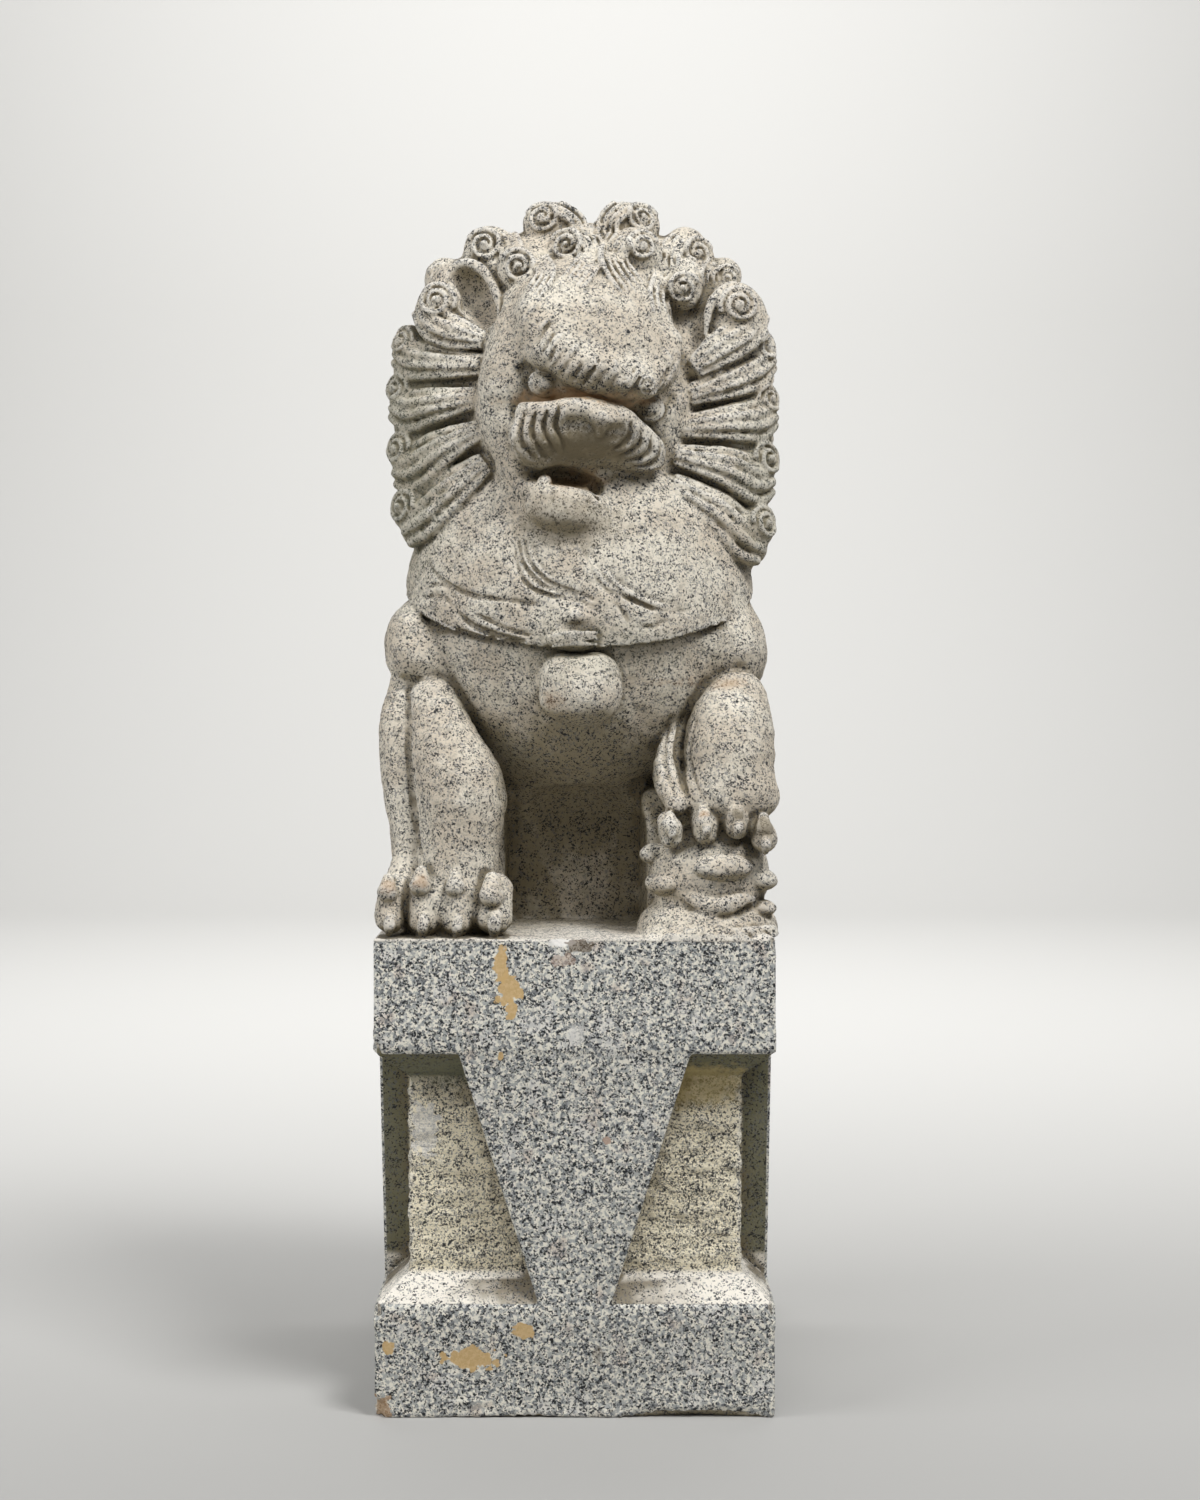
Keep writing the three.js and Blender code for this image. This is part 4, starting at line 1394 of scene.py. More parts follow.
    def mouth(self, stone: Stone) -> None:
        """The open mouth, its lower lip and the small bump of a fang.

        Args:
            stone: The block that is carved.
        """
        head = self.head
        stone.cut(head.round((-4, -46.5, 2), (17, 6, 24), (0, 0, 3)), 1.5)
        stone.cut(head.round((12.5, -49, 4), (5, 6.5, 18), (0, 0, -15)), 1.5)
        stone.add(head.strand(self.lower_lip, [4, 5.5, 5.5, 5, 4], 9), 6)
        stone.add(head.round((-18, -53, -2), (4.2, 4.5, 4.5)), 1.0)
        stone.cut(head.strand([(11, -53, 2), (13, -61, 1)], [1.6, 0.8], 3), 1.0)


@dataclass(frozen=True)
class Tail:
    """The ridge down the spine and the tail that lies up the back in a flame."""

    spine: Sequence[Point] = ((0, 40, 510), (0, 66, 470), (0, 86, 428), (0, 98, 390))
    root: Sequence[Spot] = ((34, 280), (14, 288), (0, 312), (0, 334))
    tongues: Sequence[float] = (-22, -11, 0, 11, 22)

    def carve(self, stone: Stone) -> None:
        """Adds the tail to the stone.

        Args:
            stone: The block that is carved.
        """
        stone.add(rope(self.spine, [7, 9, 10, 9], 10), 5)
        for i in range(7):
            bead = curve_through(self.spine, 9)[i + 1]
            stone.add(Round(bead + np.array([0, 6, 2]), (7, 5, 6)), 1.5)
        root = curve_through([(x, CLEAR, z) for x, z in self.root], 9)
        stone.ridge(root, TO_FRONT, spread([9, 10, 10, 8], 9), 0.35, 4)
        for shift in self.tongues:
            tall = 22 - abs(shift) * 0.8
            flame = [(0, 326), (shift, 362), (shift * 1.5, 398 + tall), (shift * 0.6, 434 + tall)]
            line = curve_through([(x, CLEAR, z) for x, z in flame], 14)
            stone.ridge(line, TO_FRONT, spread([6, 7, 6, 2], 14), 0.25, 1.0)


@dataclass
class Statue:
    """The whole carved block, and the mesh made from its skin."""

    stone: Stone = field(init=False)

    def __post_init__(self) -> None:
        """Lays out a grid that just holds the statue."""
        low, high = (np.array(corner) * METRE for corner in cad_bounds)
        self.stone = Stone(low - 6, high + 6, STEP)

    def build(self) -> bpy.types.Object:
        """Carves the statue and gives it back as one object.

        Returns:
            The object, in metres and in its place.
        """
        self.carve()
        corners, faces = self.stone.skin()
        log.info("skin: %d corners, %d faces", len(corners), len(faces))
        made = bpy.data.meshes.new(PIECE)
        made.from_pydata((corners / METRE).tolist(), [], faces.tolist())
        piece = bpy.data.objects.new(PIECE, made)
        bpy.context.scene.collection.objects.link(piece)
        self.thin(piece)
        self.mark(piece.data)
        piece.data.set_sharp_from_angle(angle=math.radians(48))
        return piece

    def carve(self) -> None:
        """Builds the plinth and the lion, from the large forms to the small."""
        stone, body, mane = self.stone, Body(), Mane()
        Plinth().carve(stone)
        plinth = stone.values.copy()
        body.carve(stone)
        StandingLeg().carve(stone)
        Ball().carve(stone)
        RaisedLeg().carve(stone)
        mane.carve(stone)
        Collar().carve(stone, body)
        Face().carve(stone)
        mane.back(stone)
        mane.crown(stone)
        for ear in EARS:
            ear.carve(stone)
        mane.locks(stone)
        Tail().carve(stone)
        self.finish(plinth)

    def finish(self, plinth: np.ndarray) -> None:
        """Roughens the lion, frees the plinth from it and keeps the skin inside the solid's box.

        Args:
            plinth: The field as it was before the lion was added.
        """
        stone = self.stone
        for size, length, seed in ((0.28, 13, 21), (0.2, 5, 22)):
            low, high = (-WIDTH, FRONT - 20, PLINTH_TOP - 6), (WIDTH, BACK + 20, FAR)
            stone.roughen(low, high, size, [length] * 3, seed)
        cuts, _ = stone.window(np.full(3, -FAR), np.array([FAR, FAR, PLINTH_TOP - 1]))
        stone.values[cuts] = plinth[cuts]
        low, high = np.array([-FAR, -FAR, PLINTH_TOP - 1]), np.array([FAR, FAR, PLINTH_TOP + 7])
        cuts, (_, y, _) = stone.window(low, high)
        stone.values[cuts] = np.maximum(stone.values[cuts], FRONT + 0.3 - y)
        low, high = (np.array(corner) * METRE for corner in cad_bounds)
        cuts, places = stone.window(stone.low, stone.high)
        shell = Block(low + 0.2, high - 0.2, 0.5).distance(*places)
        np.maximum(stone.values, shell, out=stone.values)

    def thin(self, piece: bpy.types.Object) -> None:
        """Joins small flat faces until the mesh is light enough.

        Args:
            piece: The object whose mesh is made lighter.
        """
        triangles = 2 * len(piece.data.polygons)
        cut = piece.modifiers.new("thin", "DECIMATE")
        cut.ratio = min(1.0, MOST_TRIANGLES / triangles)
        cut.use_collapse_triangulate = True
        shaped = piece.evaluated_get(bpy.context.evaluated_depsgraph_get())
        light = bpy.data.meshes.new_from_object(shaped)
        piece.modifiers.clear()
        piece.data = light
        for polygon in light.polygons:
            polygon.use_smooth = True
        log.info("thinned to %d triangles", len(light.polygons))

    def mark(self, made: bpy.types.Mesh) -> None:
        """Writes how hollow, how sheltered and how proud the stone is at each corner.

        Args:
            made: The mesh to write on.
        """
        count = len(made.vertices)
        p = np.empty(count * 3, np.float32)
        n = np.empty(count * 3, np.float32)
        made.vertices.foreach_get("co", p)
        made.vertex_normals.foreach_get("vector", n)
        p, n = p.reshape(-1, 3) * METRE, n.reshape(-1, 3)
        stone = self.stone
        hollow = np.zeros(count)
        for reach, weight in ((1.5, 0.2), (3.0, 0.35), (6.0, 0.45)):
            hollow += weight * np.clip(1 - stone.sample(p + n * reach) / reach, 0, 1)
        proud = np.mean([stone.sample(p + 2.5 * s * np.eye(3)[i]) for i in range(3) for s in (1, -1)], axis=0)
        self.write(made, "hollow", hollow)
        self.write(made, "proud", np.clip(proud / 0.8, -1, 1) * 0.5 + 0.5)
        self.write(made, "shelter", self.shelter(p, n))

    def shelter(self, p: np.ndarray, n: np.ndarray) -> np.ndarray:
        """How much of the sky above each corner is hidden from it, 1 where no rain or light gets in.

        Args:
            p: The corners in millimetres.
            n: The direction out of the stone at each.

        Returns:
            A number from 0 to 1 for each corner.
        """
        coarse = max(int(round(5 / STEP)), 1)
        solid = np.pad(self.stone.values[::coarse, ::coarse, ::coarse] < 0, 1)
        size = STEP * coarse
        turns = np.radians(np.arange(22.5, 360, 45))
        ways = [(math.sin(a), -math.cos(a), 1.0) for a in turns] + [(0.0, 0.0, 1.0)]
        seen = np.zeros(len(p))
        for way in ways:
            way = unit(np.asarray(way))
            clear = np.ones(len(p), bool)
            for far in np.arange(2.5 * size, 160, size):
                q = (p + n * 1.5 * size + way * far - self.stone.low) / size + 1
                i = np.clip(np.rint(q).astype(int), 0, np.array(solid.shape) - 1)
                clear &= ~solid[i[:, 0], i[:, 1], i[:, 2]]
            seen += clear * np.clip((n @ way + 0.15) / 0.5, 0, 1)
        return 1 - seen / len(ways)

    def write(self, made: bpy.types.Mesh, name: str, values: np.ndarray) -> None:
        """Stores one number for each corner of the mesh."""
        made.attributes.new(name, "FLOAT", "POINT").data.foreach_set("value", values.astype(np.float32))


class Wire:
    """A shader socket that takes Python arithmetic."""

    def __init__(self, bench: "Bench", socket: bpy.types.NodeSocket) -> None:
        """Holds a socket on its bench."""
        self.bench, self.socket = bench, socket

    def _math(self, operation: str, *values: "Wire | float") -> "Wire":
        """A Math node over some values."""
        return self.bench.node("ShaderNodeMath", {"operation": operation}, dict(enumerate(values)))

    def __add__(self, other: "Wire | float") -> "Wire":
        """The sum."""
        return self._math("ADD", self, other)

    def __radd__(self, other: float) -> "Wire":
        """The sum, with a number first."""
        return self._math("ADD", other, self)

    def __sub__(self, other: "Wire | float") -> "Wire":
        """The difference."""
        return self._math("SUBTRACT", self, other)

    def __rsub__(self, other: float) -> "Wire":
        """The difference, from a number."""
        return self._math("SUBTRACT", other, self)

    def __mul__(self, other: "Wire | float") -> "Wire":
        """The product."""
        return self._math("MULTIPLY", self, other)

    def __rmul__(self, other: float) -> "Wire":
        """The product, with a number first."""
        return self._math("MULTIPLY", other, self)

    def top(self, other: "Wire | float") -> "Wire":
        """The larger of two."""
        return self._math("MAXIMUM", self, other)

    def size(self) -> "Wire":
        """The value without its sign."""
        return self._math("ABSOLUTE", self)

    def step(self, start: float, end: float) -> "Wire":
        """0 before start, 1 after end, and smooth between them.

        Args:
            start: The highest value that gives 0.
            end: The lowest that gives 1.

        Returns:
            A number from 0 to 1.
        """
        rise = {"data_type": "FLOAT", "interpolation_type": "SMOOTHSTEP"}
        ends = {"Value": self, "From Min": start, "From Max": end}
        return self.bench.node("ShaderNodeMapRange", rise, ends)


@dataclass
class Bench:
    """One material's node tree."""

    tree: bpy.types.NodeTree

    def node(
        self,
        kind: str,
        settings: dict[str, object] | None = None,
        sockets: "dict[str | int, Wire | float | Point] | None" = None,
        output: str | int = 0,
    ) -> Wire:
        """Adds a node.

        Args:
            kind: The node's type.
            settings: Its properties, set first.
            sockets: A value or a wire for each input.
            output: Which output to give back.

        Returns:
            The chosen output.
        """
        made = self.tree.nodes.new(kind)
        for name, value in (settings or {}).items():
            setattr(made, name, value)
        for name, value in (sockets or {}).items():
            if isinstance(value, Wire):
                self.tree.links.new(value.socket, made.inputs[name])
            else:
                made.inputs[name].default_value = value
        return Wire(self, made.outputs[output])

    def vector(self, operation: str, a: Wire, b: "Wire | Point | float") -> Wire:
        """Vector maths on two vectors, or on one and the number that scales it."""
        second = "Scale" if operation == "SCALE" else 1
        return self.node("ShaderNodeVectorMath", {"operation": operation}, {0: a, second: b})

    def attribute(self, name: str) -> Wire:
        """A number stored on the mesh."""
        return self.node("ShaderNodeAttribute", {"attribute_name": name}, output="Fac")

    def mix(self, share: Wire | float, a: "Wire | Point", b: "Wire | Point") -> Wire:
        """Two colours mixed.

        Args:
            share: How much of the second colour shows.
            a: The first colour.
            b: The second.

        Returns:
            The mixed colour.
        """
        made = self.tree.nodes.new("ShaderNodeMix")
        made.data_type = "RGBA"
        ends = [s for s in made.inputs if s.type == "RGBA"]
        for socket, value in ((made.inputs[0], share), (ends[0], a), (ends[1], b)):
            if isinstance(value, Wire):
                self.tree.links.new(value.socket, socket)
            else:
                socket.default_value = value if isinstance(value, float) else (*value, 1.0)
        return Wire(self, next(s for s in made.outputs if s.type == "RGBA"))


class Edge(Enum):
    """How a patch ends: how broad its edge is and how far it is torn, as shares of the patch's half size."""

    CRISP = (0.12, 2.4)
    SOFT = (0.9, 1.6)


@dataclass(frozen=True)
class ColourPatch:
    """A patch of another colour, a stain or painted shade, by its middle and half sizes in millimetres."""

    at: Point
    half: Point
    colour: Point
    strength: float = 0.9
    edge: Edge = Edge.CRISP


OCHRE = (0.66, 0.45, 0.20)
YELLOW = (0.60, 0.47, 0.20)
RUST = (0.46, 0.29, 0.15)
PALE = (0.78, 0.76, 0.72)
PINK = (0.50, 0.36, 0.28)
BRUISE = (0.13, 0.09, 0.05)
# Grey-green: moss on the mane and the chest, and painted shadow at the top of the waist.
MOSS_AND_SHADE = (0.20, 0.20, 0.13)
# Dark olive-brown, used as grime on the raised paw's toes and as painted shade on the muzzle and the chin.
GRIME_AND_SHADE = (0.22, 0.18, 0.11)
TAN = (0.62, 0.42, 0.24)


@dataclass(frozen=True)
class Granite:
    """Speckled granite: honed on the plinth, rough and paler in its waist, tooled and dirtier on the lion,
    with painted shade in its hollows, under overhangs and round the cloths.
    """

    speck: float = 0.9
    grain: float = 1.4
    fine: float = 0.8
    cream: Point = (0.86, 0.825, 0.725)
    blue_grey: Point = (0.43, 0.44, 0.425)
    slate: Point = (0.12, 0.135, 0.155)
    black: Point = (0.022, 0.024, 0.028)
    tooled: Point = (0.68, 0.60, 0.485)
    tooled_pale: Point = (0.82, 0.76, 0.645)
    tooled_grey: Point = (0.40, 0.37, 0.30)
    rough: Point = (1.0, 0.91, 0.69)
    worn: Point = (0.95, 0.90, 0.81)
    # Grime and painted shade for the hollows.
    crevice_grime_and_shade_tone: Point = (0.19, 0.155, 0.095)
    # Painted shade, with dirt, where much of the sky is hidden: under overhangs, in the belly and the niche.
    sheltered_shade_and_dirt: Point = (0.30, 0.25, 0.15)
    # Painted shade, with grime, on the cloths' end faces and the soffit under the slab.
    deep_shade_and_grime: Point = (0.15, 0.145, 0.08)
    colour_patches: tuple[ColourPatch, ...] = (
        ColourPatch((-41, FRONT, 252), (3.5, 9, 11), OCHRE),
        ColourPatch((-36.5, FRONT, 238), (6.5, 9, 8), OCHRE),
        ColourPatch((-35, FRONT, 228), (3, 9, 6), OCHRE),
        ColourPatch((-41, FRONT, 202), (1.6, 9, 2.5), OCHRE),
        ColourPatch((18, FRONT, 154.5), (2, 9, 2.6), PINK),
        ColourPatch((-57, FRONT, 33), (14, 9, 6), OCHRE),
        ColourPatch((-28, FRONT, 48.5), (6, 9, 4.5), OCHRE),
        ColourPatch((-103.5, FRONT, 40), (3, 9, 4.5), OCHRE),
        ColourPatch((-8, FRONT, 264.5), (7, 6, 2.5), PALE),
        ColourPatch((3, FRONT, 262), (8, 9, 4), BRUISE, 0.7),
        ColourPatch((-6, FRONT, 255), (6, 9, 3.5), PINK, 0.5),
        ColourPatch((13, FRONT, 35), (3, 9, 5), BRUISE, 0.4),
        ColourPatch((0.5, FRONT, 213.5), (5, 9, 5), PALE, 0.6),
        ColourPatch((-108, FRONT, 5), (7, 12, 7), RUST, 0.7),
        ColourPatch((-84, FRONT + 18, 158), (7, 8, 17), PALE, 0.6),
        ColourPatch((66, FRONT + 18, 184), (32, 12, 13), YELLOW, 0.6, Edge.SOFT),
        # Painted shadow of the slab and the front cloth on the left of the waist's top.
        ColourPatch((-68, FRONT + 18, 196), (30, 12, 12), MOSS_AND_SHADE, 0.6, Edge.SOFT),
        ColourPatch((4, -100, 565), (34, 15, 6), TAN, 1.0, Edge.SOFT),
        # Painted shade over the muzzle's front under the crest, which faces down, with some grime.
        ColourPatch((6, -122, 536), (36, 24, 13), GRIME_AND_SHADE, 0.95, Edge.SOFT),
        ColourPatch((0, -98, 521), (15, 18, 6), RUST, 0.5, Edge.SOFT),
        # Painted shadow that the muzzle casts on the chin.
        ColourPatch((-4, -114, 497), (34, 24, 15), GRIME_AND_SHADE, 0.4, Edge.SOFT),
        ColourPatch((75, -96, 408), (24, 14, 4), RUST, 0.5, Edge.SOFT),
        ColourPatch((-84, -126, 299), (7, 8, 4), RUST, 0.6, Edge.SOFT),
        ColourPatch((-103, -122, 297), (6, 8, 5), RUST, 0.5, Edge.SOFT),
        ColourPatch((90, -124, 336), (8, 8, 4), GRIME_AND_SHADE, 0.7, Edge.SOFT),
        ColourPatch((107, -120, 329), (8, 10, 6), GRIME_AND_SHADE, 0.7, Edge.SOFT),
        ColourPatch((72, -124, 336), (8, 8, 3), RUST, 0.6, Edge.SOFT),
        ColourPatch((-16, -122, 398), (8, 10, 6), RUST, 0.35, Edge.SOFT),
        ColourPatch((-98, -50, 535), (32, 40, 75), MOSS_AND_SHADE, 0.42, Edge.SOFT),
        ColourPatch((112, -50, 520), (26, 40, 50), MOSS_AND_SHADE, 0.3, Edge.SOFT),
        ColourPatch((20, -110, 425), (60, 30, 14), MOSS_AND_SHADE, 0.22, Edge.SOFT),
    )

    def make(self) -> bpy.types.Material:
        """Builds the material.

        Returns:
            The material.
        """
        material = bpy.data.materials.new("granite")
        material.use_nodes = True
        tree = material.node_tree
        shader = next(n for n in tree.nodes if n.type == "BSDF_PRINCIPLED")
        bench = Bench(tree)
        place = bench.node("ShaderNodeTexCoord", output="Object")
        p = bench.vector("SCALE", place, METRE)
        wobble = bench.node("ShaderNodeTexNoise", None, {"Vector": p, "Scale": 0.8, "Detail": 3.0}, "Color")
        q = bench.vector("ADD", p, bench.vector("SCALE", bench.vector("SUBTRACT", wobble, (0.5,) * 3), 2.6))
        honed, waist, flank, ledge = self.zones(bench, p)
        carved = self.tooled_colour(bench, p, q, waist, flank, ledge)
        colour = self.with_stains_and_painted_shade(bench, p, bench.mix(honed, carved, self.honed_colour(bench, p, q)))
        bench.tree.links.new(colour.socket, shader.inputs["Base Color"])
        roughness = 0.84 - 0.24 * honed + 0.12 * (self.noise(bench, p, 2.5) - 0.5)
        bench.tree.links.new(roughness.socket, shader.inputs["Roughness"])
        bump = {"Strength": 0.6, "Distance": 0.0007, "Height": self.height(bench, p, q, honed, waist)}
        normal = bench.node("ShaderNodeBump", None, bump, "Normal")
        bench.tree.links.new(normal.socket, shader.inputs["Normal"])
        shader.inputs["Specular IOR Level"].default_value = 0.35
        return material

    def cells(self, bench: Bench, q: Wire, size: float, channel: int) -> Wire:
        """A random number for each grain of about this size."""
        colour = bench.node("ShaderNodeTexVoronoi", None, {"Vector": q, "Scale": 1 / size}, "Color")
        return bench.node("ShaderNodeSeparateColor", None, {0: colour}, channel)

    def noise(self, bench: Bench, p: Wire, size: float, detail: float = 3.0) -> Wire:
        """A soft cloudy number with lumps of about this size in millimetres."""
        return bench.node("ShaderNodeTexNoise", None, {"Vector": p, "Scale": 1 / size, "Detail": detail})

    def zones(self, bench: Bench, p: Wire) -> tuple[Wire, Wire, Wire, Wire]:
        """1 on honed outer faces, on the rough waist, round the cloths and under the slab where painted shade
        and grime go, and on the set-back.

        Args:
            bench: The material's nodes.
            p: The place in millimetres.

        Returns:
            Four numbers from 0 to 1, in that order. The plinth's top counts as part of the set-back.
        """
        x, y, z = (bench.node("ShaderNodeSeparateXYZ", None, {0: p}, i) for i in range(3))
        side_x = (x.size() - (WIDTH / 2 - ARRIS)).step(-0.6, 0.0)
        side_y = (y.size() - (DEPTH / 2 - ARRIS)).step(-0.6, 0.0)
        honed = side_x.top(side_y) * (1 - (z - PLINTH_TOP).step(-2.0, -0.8))
        deep_x = 1 - (x.size() - (WIDTH / 2 - SET_BACK)).step(1.5, 3.0)
        deep_y = 1 - (y.size() - (DEPTH / 2 - SET_BACK)).step(1.5, 3.0)
        tall = (z - (FOOT_HEIGHT + SET_BACK_RISE)).step(-3.0, 2.0) * (1 - (z - SLAB_FOOT).step(-2.0, 0.0))
        waist = deep_x * deep_y * tall
        set_back = 1 - (z - (FOOT_HEIGHT + SET_BACK_RISE)).step(-2.0, 1.0)
        set_back = (z - (FOOT_HEIGHT - 2)).step(0.0, 1.0) * set_back
        soffit = (z - (SLAB_FOOT - SOFFIT_DROP)).step(-1.0, 1.0) * (1 - (z - SLAB_FOOT).step(1.0, 3.0))
        top = (z - (PLINTH_TOP - 1.5)).step(0.0, 0.5) * (1 - (z - (PLINTH_TOP + 1)).step(0.0, 2.0)) * 0.6
        # Where painted shade and grime go: the cloths' end faces and the soffit under the slab.
        flank = ((1 - deep_x) * deep_y * tall).top(soffit) * (1 - honed)
        return honed, waist, flank, set_back.top(top) * (1 - honed)

    def honed_colour(self, bench: Bench, p: Wire, q: Wire) -> Wire:
        """Cream and blue-grey grains, with clusters of slate and black specks.

        Args:
            bench: The material's nodes.
            p: The place in millimetres.
            q: The place, unevenly shifted so that the grains' edges are crooked.

        Returns:
            The colour of the honed faces.
        """
        colour = bench.mix(self.noise(bench, q, 2.5).step(0.42, 0.56), self.blue_grey, self.cream)
        pink = self.noise(bench, p, 16, 2.0).step(0.60, 0.72) * 0.35
        colour = bench.mix(pink, colour, PINK)
        colour = bench.mix((self.cells(bench, q, 10, 2) - 0.9).step(0.0, 0.02) * 0.5, colour, PALE)
        crowd = 0.25 + (self.noise(bench, p, 4.5, 2.0) - 0.5) * 1.0
        slate = (crowd + 0.02 - self.cells(bench, q, self.grain, 1)).step(0.0, 0.06) * 0.8
        colour = bench.mix(slate, colour, self.slate)
        return bench.mix((crowd - self.cells(bench, q, self.speck, 0)).step(0.0, 0.03), colour, self.black)

    def tooled_colour(self, bench: Bench, p: Wire, q: Wire, waist: Wire, flank: Wire, ledge: Wire) -> Wire:
        """Warm pale stone with fine black specks, grime and painted shade in its hollows, painted shade and
        dirt where little sky is seen and round the cloths, and paler where it stands proud.

        Args:
            bench: The material's nodes.
            p: The place in millimetres.
            q: The place, unevenly shifted so that the grains' edges are crooked.
            waist: 1 on the rough waist.
            flank: 1 round the cloths and under the slab, where painted shade and grime go.
            ledge: 1 on the set-back and the plinth's top.

        Returns:
            The colour of the tooled stone.
        """
        hollow, shelter, proud = (bench.attribute(name) for name in ("hollow", "shelter", "proud"))
        cloud = self.noise(bench, p, 28, 4.0)
        patch = self.noise(bench, p, 11, 5.0)
        fleck = self.noise(bench, q, 2.2)
        colour = bench.mix(cloud.step(0.38, 0.62), self.tooled, self.tooled_pale)
        colour = bench.mix(fleck.step(0.48, 0.66) * 0.6 * (1 - waist * 0.5), colour, self.tooled_grey)
        colour = bench.mix(waist * 0.85, colour, self.rough)
        colour = bench.mix((proud - 0.56).step(0.0, 0.3) * 0.4, colour, PALE)
        colour = bench.mix(ledge * 0.85, colour, self.worn)
        # Painted shade and dirt where the shelter measure says little sky is seen.
        sheltered_shade_and_dirt = (shelter + (patch - 0.5) * 0.3).step(0.66, 0.96) * 0.85
        # Grime and painted shade in the hollows, by how closed in each corner is.
        hollow_grime_and_shade = (hollow * 1.7 - 0.2 + (patch - 0.5) * 0.7).step(0.08, 0.75) * 0.9
        # Painted shade and grime round the cloths and under the slab.
        colour = bench.mix(flank * 0.88, bench.mix(sheltered_shade_and_dirt, colour, self.sheltered_shade_and_dirt), self.deep_shade_and_grime)
        colour = bench.mix(hollow_grime_and_shade * (1 - waist * 0.6), colour, self.crevice_grime_and_shade_tone)
        crowd = 0.20 + (self.noise(bench, p, 5.0, 2.0) - 0.5) * 0.7 + waist * 0.08 - ledge * 0.04
        slate = (crowd + 0.03 - self.cells(bench, q, self.speck, 1)).step(0.0, 0.08) * 0.6
        colour = bench.mix(slate, colour, self.slate)
        black = (crowd - 0.01 - self.cells(bench, q, self.fine, 0)).step(0.0, 0.04) * 0.95
        return bench.mix(black, colour, self.black)

    def with_stains_and_painted_shade(self, bench: Bench, p: Wire, colour: Wire) -> Wire:
        """The patches of ochre, rust and fresh stone, and of painted shade and shadow.

        Args:
            bench: The material's nodes.
            p: The place in millimetres.
            colour: The clean stone.

        Returns:
            The stone with its stains and painted shade.
        """
        cloud = self.noise(bench, p, 4.5, 4.0)
        for colour_patch in self.colour_patches:
            away = bench.vector("DIVIDE", bench.vector("SUBTRACT", p, colour_patch.at), colour_patch.half)
            away = bench.node("ShaderNodeVectorMath", {"operation": "LENGTH"}, {0: away}, "Value")
            soft, torn = colour_patch.edge.value
            share = (1 + soft / 2 - away + (cloud - 0.5) * torn).step(0.0, soft) * colour_patch.strength
            colour = bench.mix(share, colour, colour_patch.colour)
        return colour

    def height(self, bench: Bench, p: Wire, q: Wire, honed: Wire, waist: Wire) -> Wire:
        """Pits and tool marks, finer on the honed faces and drawn out level on the waist.

        Args:
            bench: The material's nodes.
            p: The place in millimetres.
            q: The place, unevenly shifted so that the grains' edges are crooked.
            honed: 1 on the honed faces.
            waist: 1 on the rough waist.

        Returns:
            A height for the bump.
        """
        pits = self.cells(bench, q, self.speck, 2)
        marks = self.noise(bench, p, 1.8, 6.0)
        splits = self.noise(bench, bench.vector("MULTIPLY", q, (0.22, 0.22, 1.0)), 1.6, 4.0)
        tooled = marks * 1.2 + pits * 0.25 + splits * waist * 4.5
        return tooled * (1 - honed * 0.8)


@dataclass(frozen=True)
class Lamp:
    """A soft square light: where it stands and points, its side in metres and its power in watts."""

    name: str
    at: Point
    aim: Point
    side: float
    power: float


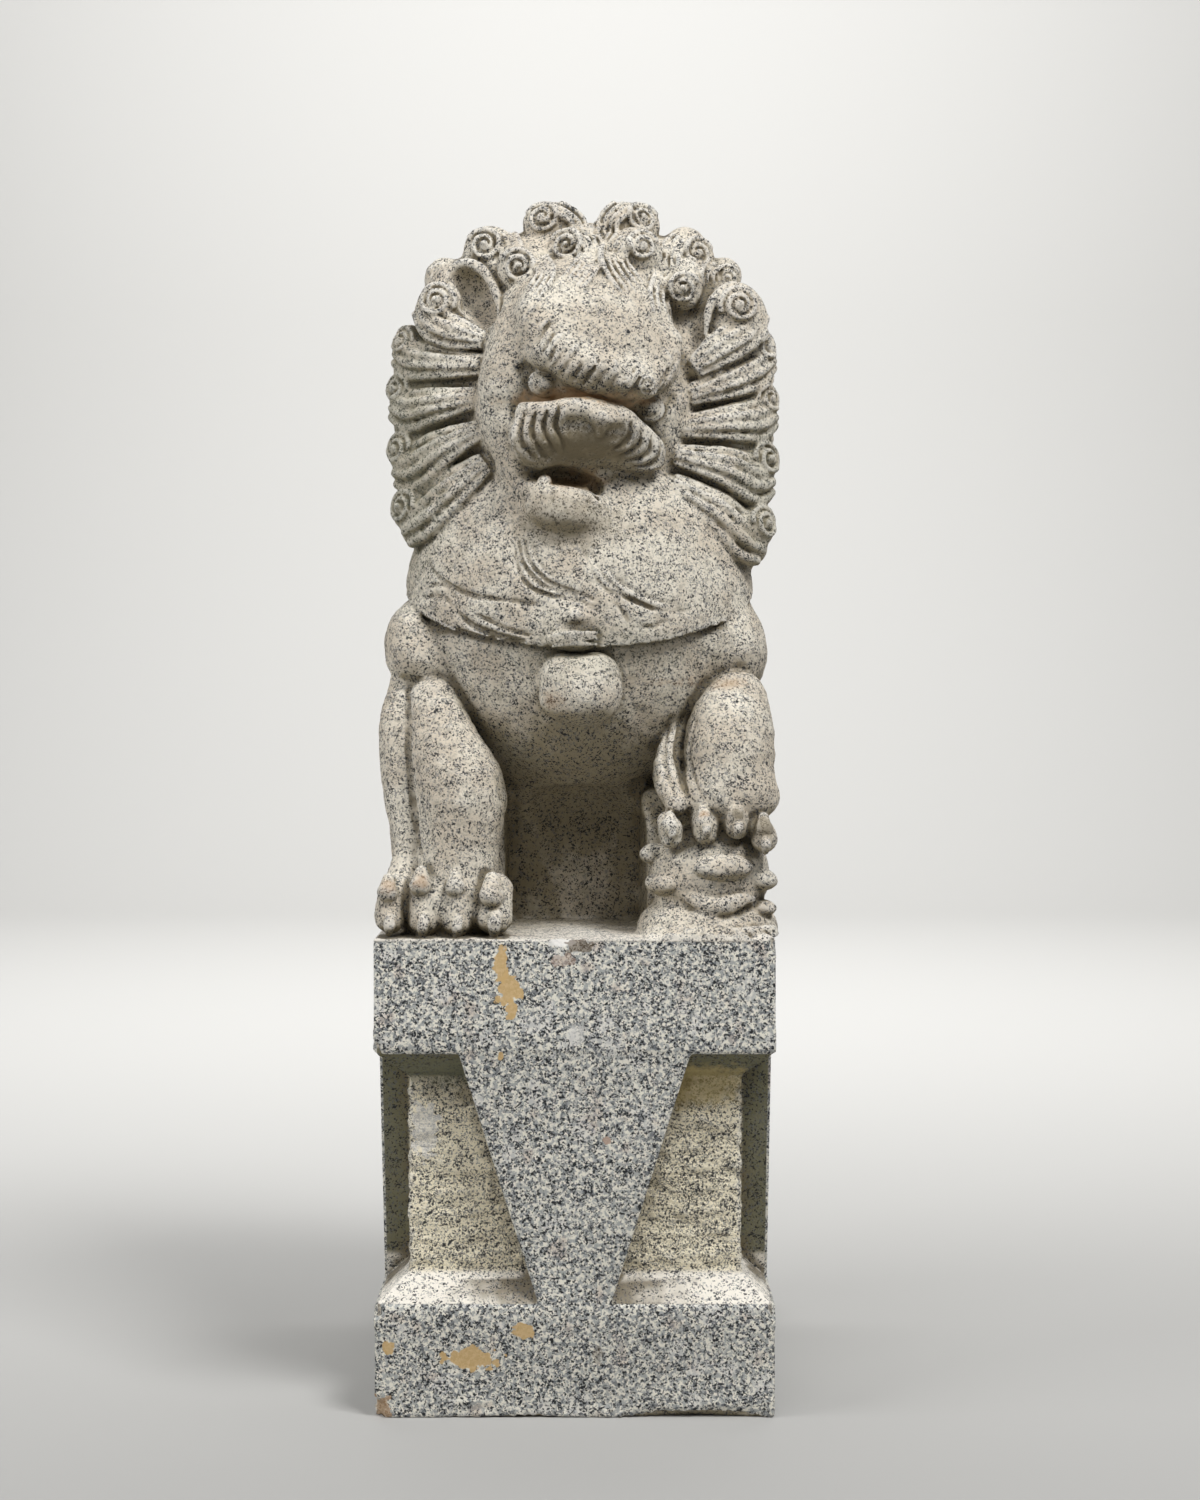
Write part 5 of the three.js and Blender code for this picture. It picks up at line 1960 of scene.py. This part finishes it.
@dataclass(frozen=True)
class Studio:
    """A plain pale floor, soft light and the camera, in metres and degrees. The lens is in millimetres."""

    camera_at: Point = (0.014, -1.425, 0.4137)
    pitch_down: float = 1.89
    lens: float = 56.8
    paper: Point = (0.47, 0.465, 0.45)
    sky: Point = (0.93, 0.96, 1.0)
    sky_strength: float = 0.1
    lamps: tuple[Lamp, ...] = (
        Lamp("key", (0.95, -1.05, 2.35), (0, 0, 0.38), 0.8, 46),
        Lamp("side", (-2.0, -0.8, 1.6), (0, 0, 0.38), 1.2, 21),
        Lamp("front", (-0.6, -1.7, 2.3), (0, 0, 0.38), 1.5, 15),
        Lamp("backdrop", (0.0, 1.0, 2.6), (0, 4.2, 0.9), 2.0, 155),
    )

    def build(self) -> None:
        """Sets up everything round the statue."""
        self.floor()
        self.light()
        self.camera()

    def floor(self) -> None:
        """A pale floor that curves up into a backdrop."""
        made = bpy.data.meshes.new("floor")
        half, front, back, bend, tall = 6.0, -4.0, 2.6, 1.2, 5.0
        arc = np.linspace(0.1, math.pi / 2, 14)
        profile = [(front, 0.0), (back, 0.0)]
        profile += [(back + bend * math.sin(a), bend * (1 - math.cos(a))) for a in arc]
        profile += [(back + bend, tall)]
        corners = [(x, y, z) for y, z in profile for x in (-half, half)]
        faces = [(2 * i, 2 * i + 1, 2 * i + 3, 2 * i + 2) for i in range(len(profile) - 1)]
        made.from_pydata(corners, [], faces)
        for polygon in made.polygons:
            polygon.use_smooth = True
        floor = bpy.data.objects.new("floor", made)
        bpy.context.scene.collection.objects.link(floor)
        material = bpy.data.materials.new("floor")
        material.use_nodes = True
        shader = material.node_tree.nodes["Principled BSDF"]
        shader.inputs["Base Color"].default_value = (*self.paper, 1)
        shader.inputs["Roughness"].default_value = 0.9
        made.materials.append(material)

    def light(self) -> None:
        """Soft light from above and in front, light on the backdrop and a pale sky."""
        for lamp in self.lamps:
            data = bpy.data.lights.new(lamp.name, "AREA")
            data.shape = "SQUARE"
            data.size, data.energy = lamp.side, lamp.power
            light = bpy.data.objects.new(lamp.name, data)
            bpy.context.scene.collection.objects.link(light)
            light.location = lamp.at
            light.rotation_euler = (Vector(lamp.aim) - Vector(lamp.at)).to_track_quat("-Z", "Y").to_euler()
        world = bpy.data.worlds.new("sky")
        world.use_nodes = True
        sky = world.node_tree.nodes["Background"]
        sky.inputs["Color"].default_value = (*self.sky, 1)
        sky.inputs["Strength"].default_value = self.sky_strength
        bpy.context.scene.world = world
        bpy.context.scene.view_settings.view_transform = "Standard"

    def camera(self) -> None:
        """The camera where the photograph was taken from."""
        data = bpy.data.cameras.new("camera")
        data.sensor_width = 36.0
        data.lens = self.lens
        eye = bpy.data.objects.new("camera", data)
        bpy.context.scene.collection.objects.link(eye)
        eye.location = self.camera_at
        eye.rotation_euler = (math.radians(90 - self.pitch_down), 0, 0)
        bpy.context.scene.camera = eye


def main() -> None:
    """Builds the statue, its material and the studio."""
    statue = Statue().build()
    statue.data.materials.append(Granite().make())
    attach(statue, "root")
    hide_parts(NODE)
    log.info("statue: %d triangles", len(statue.data.polygons))
    Studio().build()


if __name__ == "__main__":
    main()
